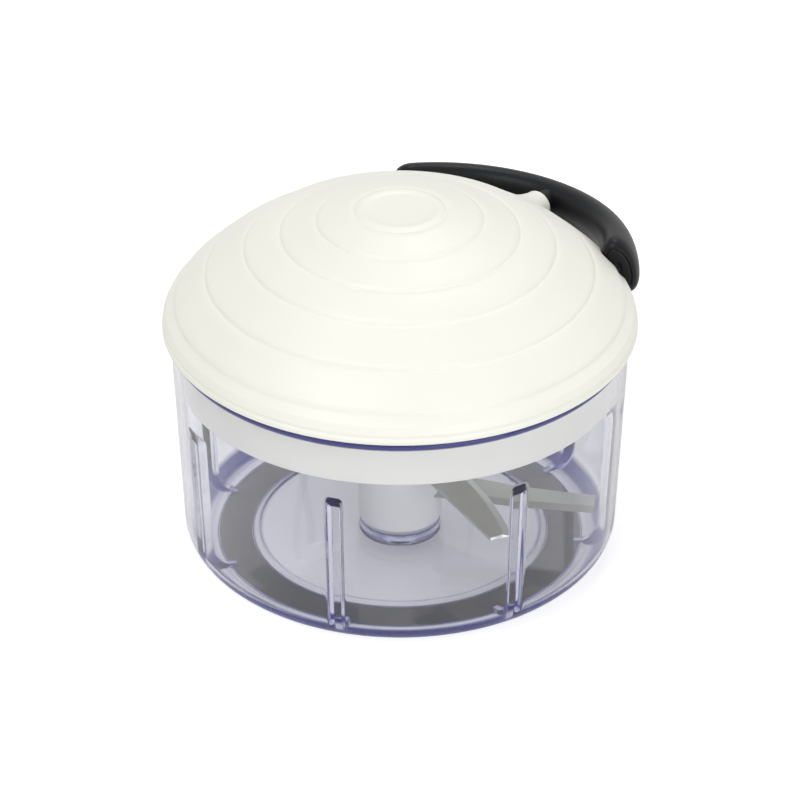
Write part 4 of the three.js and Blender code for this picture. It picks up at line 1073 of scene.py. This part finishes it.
def make_lid_base(materials):
    """The plate under the dome, with its skirt, its flange and the collar round the shaft."""
    collar = BUSH_RADIUS + GAP
    skirt_inner = SKIRT_RADIUS - SKIRT_WALL
    base = lathe("lid_skirt", rounded([
        (PLATE_SEAM, PLATE_LOW),
        (skirt_inner, PLATE_LOW),
        (skirt_inner, SKIRT_LOW),
        (SKIRT_RADIUS, SKIRT_LOW),
        (SKIRT_RADIUS, SEAT),
        (FLANGE_RADIUS, SEAT),
        (FLANGE_RADIUS, FLANGE_TOP),
        (skirt_inner, FLANGE_TOP),
        (skirt_inner - SKIRT_WALL, PLATE_TOP),
        (collar, PLATE_TOP),
        (collar, COLLAR_LOW),
        (collar + COLLAR_WALL, COLLAR_LOW),
        (collar + COLLAR_WALL, PLATE_LOW),
        (PLATE_SEAM, PLATE_LOW),
    ], [0, 1.2, 0.7, 0.7, 0.3, 0.3, 0.4, 0.3, 0.3, 0.3, 0.4, 0.5, 0.8, 0], 4)[:-1],
        materials["white"], even_angles(160), closed=True)
    placed(base, "lid", "white_plastic", "lid_base")


# Handle and cord.

# The handle's end, an oval cap with a dimple: share of the section's size, then the distance from the end.
CAP_SHAPE = [
    (1, 5.6), (0.985, 4.1), (0.94, 2.7), (0.87, 1.6), (0.78, 0.9), (0.715, 0.62), (0.68, 0.62), (0.66, 0.78),
    (0.635, 0.6), (0.6, 0.36), (0.5, 0.16), (0.35, 0.03), (0.25, 0), (0.19, 0.08), (0.14, 0.3), (0.07, 0.46),
]
CAP_DIMPLE = 0.5

# The end of the room for it in the dome.
ROOM_SHAPE = [(1, 6), (0.975, 4.3), (0.93, 2.8), (0.84, 1.5), (0.68, 0.6), (0.4, 0.14)]

BOW_SHORTER = 0.5
BOW_STATIONS = 40
BOW_COUNT = 64

# The seat that fits in the nozzle's end, and the cord's hole through it: radius, distance along the cord.
SEAT_OUTLINE = [(0, 70.5), (3.1, 70.5), (3.4, 70.8), (3.4, 75.7), (0, 75.7)]
HOLE_OUTLINE = [(0, 69), (1.2, 69), (1.2, 75.7), (0, 75.7)]


def bow_rows(shape, half_length):
    """The bow's rows from its middle to one end: distance along its arc, share of the section's size."""
    end = smooth_line(shape, 4)
    straight = half_length - end[0].y
    rows = [(straight * i / BOW_STATIONS, 1) for i in range(BOW_STATIONS)]
    return rows + [(half_length - p.y, p.x) for p in end]


def bow_solid(name, grown, shape, dimple, material):
    """The bow, leaned towards the dome and grown on all sides by a distance; its ends have the shape."""
    half_arc = BOW_RADIUS * BOW_HALF_ANGLE
    half_length = half_arc - BOW_SHORTER + grown
    half = bow_rows(shape, half_length)
    stations = [(-along, size) for along, size in reversed(half[1:])] + half
    vertices = []

    def place(along, across, up):
        share = along / half_arc
        radius = BOW_RADIUS + across * cos(BOW_LEAN) - up * sin(BOW_LEAN)
        height = BOW_MIDDLE_HEIGHT + BOW_END_RISE * share ** 2 + across * sin(BOW_LEAN) + up * cos(BOW_LEAN)
        angle = along / BOW_RADIUS
        return BOW_CENTRE + radius * cos(angle), radius * sin(angle), height

    for along, size in stations:
        share = along / half_arc
        wide = (BOW_WIDTH / 2 + grown) * size
        high = (BOW_HEIGHT / 2 * (1 + BOW_END_SWELL * share ** 2) + grown) * size
        for turn in even_angles(BOW_COUNT):
            across, up = cos(turn), sin(turn)
            full = 1 + BOW_INNER_FULLNESS * 2 * across * up if across < 0 and up < 0 else 1
            low = BOW_BELLY * size * min(up, 0)
            vertices.append(place(along, wide * across * full, high * up * full + low))
    faces = tube_faces(len(stations), BOW_COUNT)
    tip = half_length - dimple
    for end, row in ((-tip, 0), (tip, len(stations) - 1)):
        vertices.append(place(end, 0, 0))
        first, middle = row * BOW_COUNT, len(vertices) - 1
        faces += [[first + k, first + (k + 1) % BOW_COUNT, middle] for k in range(BOW_COUNT)]
    return facing_out(new_object(name, vertices, faces, material, BOW_SHARP))


def make_handle(materials):
    """The bow, cut back where it would reach into the dome, with its seat and the cord's hole."""
    black = materials["black"]
    grip = bow_solid("bow_handle", 0, CAP_SHAPE, CAP_DIMPLE, black)
    behind = shrunk_dome("behind_handle", RELIEF_DEPTH - HANDLE_GAP, COVER_LOW - BEYOND - 2, black)
    combine(grip, behind, "DIFFERENCE")
    low, rim_top = COVER_LOW - BEYOND - 3, FLANGE_TOP + GAP + RELIEF_LEDGE + HANDLE_GAP
    combine(grip, rod("rim_room", LID_RADIUS + HANDLE_GAP, low, rim_top, black, LID_COUNT), "DIFFERENCE")
    seat = lathe("seat", rounded(SEAT_OUTLINE, [0, 0.2, 0.2, 0, 0], 3), black, even_angles(48))
    combine(grip, along_cord(seat), "UNION")
    hole = lathe("hole", HOLE_OUTLINE, black, even_angles(24))
    combine(grip, along_cord(hole), "DIFFERENCE")
    placed(grip, "handle", "black_plastic", "pull_handle", "handle_plug", "cord_knot")


def make_cord(materials):
    """The run from the drum through the eyelet to the handle, as a tube with a slight twist."""
    leave = -acos(WINDING_RADIUS / EYELET_MOUTH)
    start = Vector((WINDING_RADIUS * cos(leave), WINDING_RADIUS * sin(leave), CORD_HEIGHT))
    mouth = Vector((EYELET_MOUTH, 0, CORD_HEIGHT))
    way = (mouth - start).normalized()
    straight = (mouth - start).length - CORD_BEND_START
    route = [start + way * CORD_OFF_DRUM + way * straight * i / SLANT_STEPS for i in range(SLANT_STEPS + 1)]
    bend_start, bend_end = route[-1], Vector((EYELET_MOUTH + CORD_BEND, 0, CORD_HEIGHT))
    for i in range(1, BEND_STEPS):
        t = i / BEND_STEPS
        route.append(bend_start * (1 - t) ** 2 + mouth * 2 * t * (1 - t) + bend_end * t ** 2)
    run = CORD_FINISH - bend_end.x
    route += [Vector((bend_end.x + run * i / RUN_STEPS, 0, CORD_HEIGHT)) for i in range(RUN_STEPS + 1)]
    vertices = []
    for i, point in enumerate(route):
        along = (route[min(i + 1, len(route) - 1)] - route[max(i - 1, 0)]).normalized()
        side = Vector((0, 0, 1)).cross(along).normalized()
        up = along.cross(side)
        for turn in even_angles(CORD_COUNT):
            strand = 1 - STRAND_DEPTH * (1 + cos(3 * turn + i * STRAND_TWIST))
            vertices.append(point + (side * cos(turn) + up * sin(turn)) * CORD_RADIUS * strand)
    faces = tube_faces(len(route), CORD_COUNT)
    last = (len(route) - 1) * CORD_COUNT
    faces += [list(range(CORD_COUNT)), [last + k for k in range(CORD_COUNT)]]
    cord = new_object("pull_cord_run", vertices, faces, materials["cord"], CORD_SHARP)
    facing_out(cord)
    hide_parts("pull_cord")
    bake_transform(cord)


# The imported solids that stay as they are.

KEPT_NODES = {
    "cord_eyelet": "steel",
    "shaft_bushing": "inner",
    "mechanism_cover": "inner",
    "cord_drum": "inner",
    "drive_shaft": "inner",
    "drive_pawl_1": "steel",
    "drive_pawl_2": "steel",
    "recoil_spring": "steel",
    "wound_cord": "cord",
    **{f"mechanism_screw_{i}": "steel" for i in (1, 2, 3)},
    **{f"lid_screw_{i}": "steel" for i in (1, 2, 3)},
}


def paint_kept_nodes(materials):
    """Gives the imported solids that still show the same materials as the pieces."""
    for node, material in KEPT_NODES.items():
        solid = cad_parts[node]
        if not solid.material_slots:
            solid.data.materials.append(materials[material])
        for material_slot in solid.material_slots:
            material_slot.material = materials[material]


make_studio()
materials = make_materials()
make_bowl(materials)
make_stand(materials)
make_hub(materials)
make_blades(materials)
make_lid_cover(materials)
make_lid_base(materials)
make_handle(materials)
make_cord(materials)
paint_kept_nodes(materials)
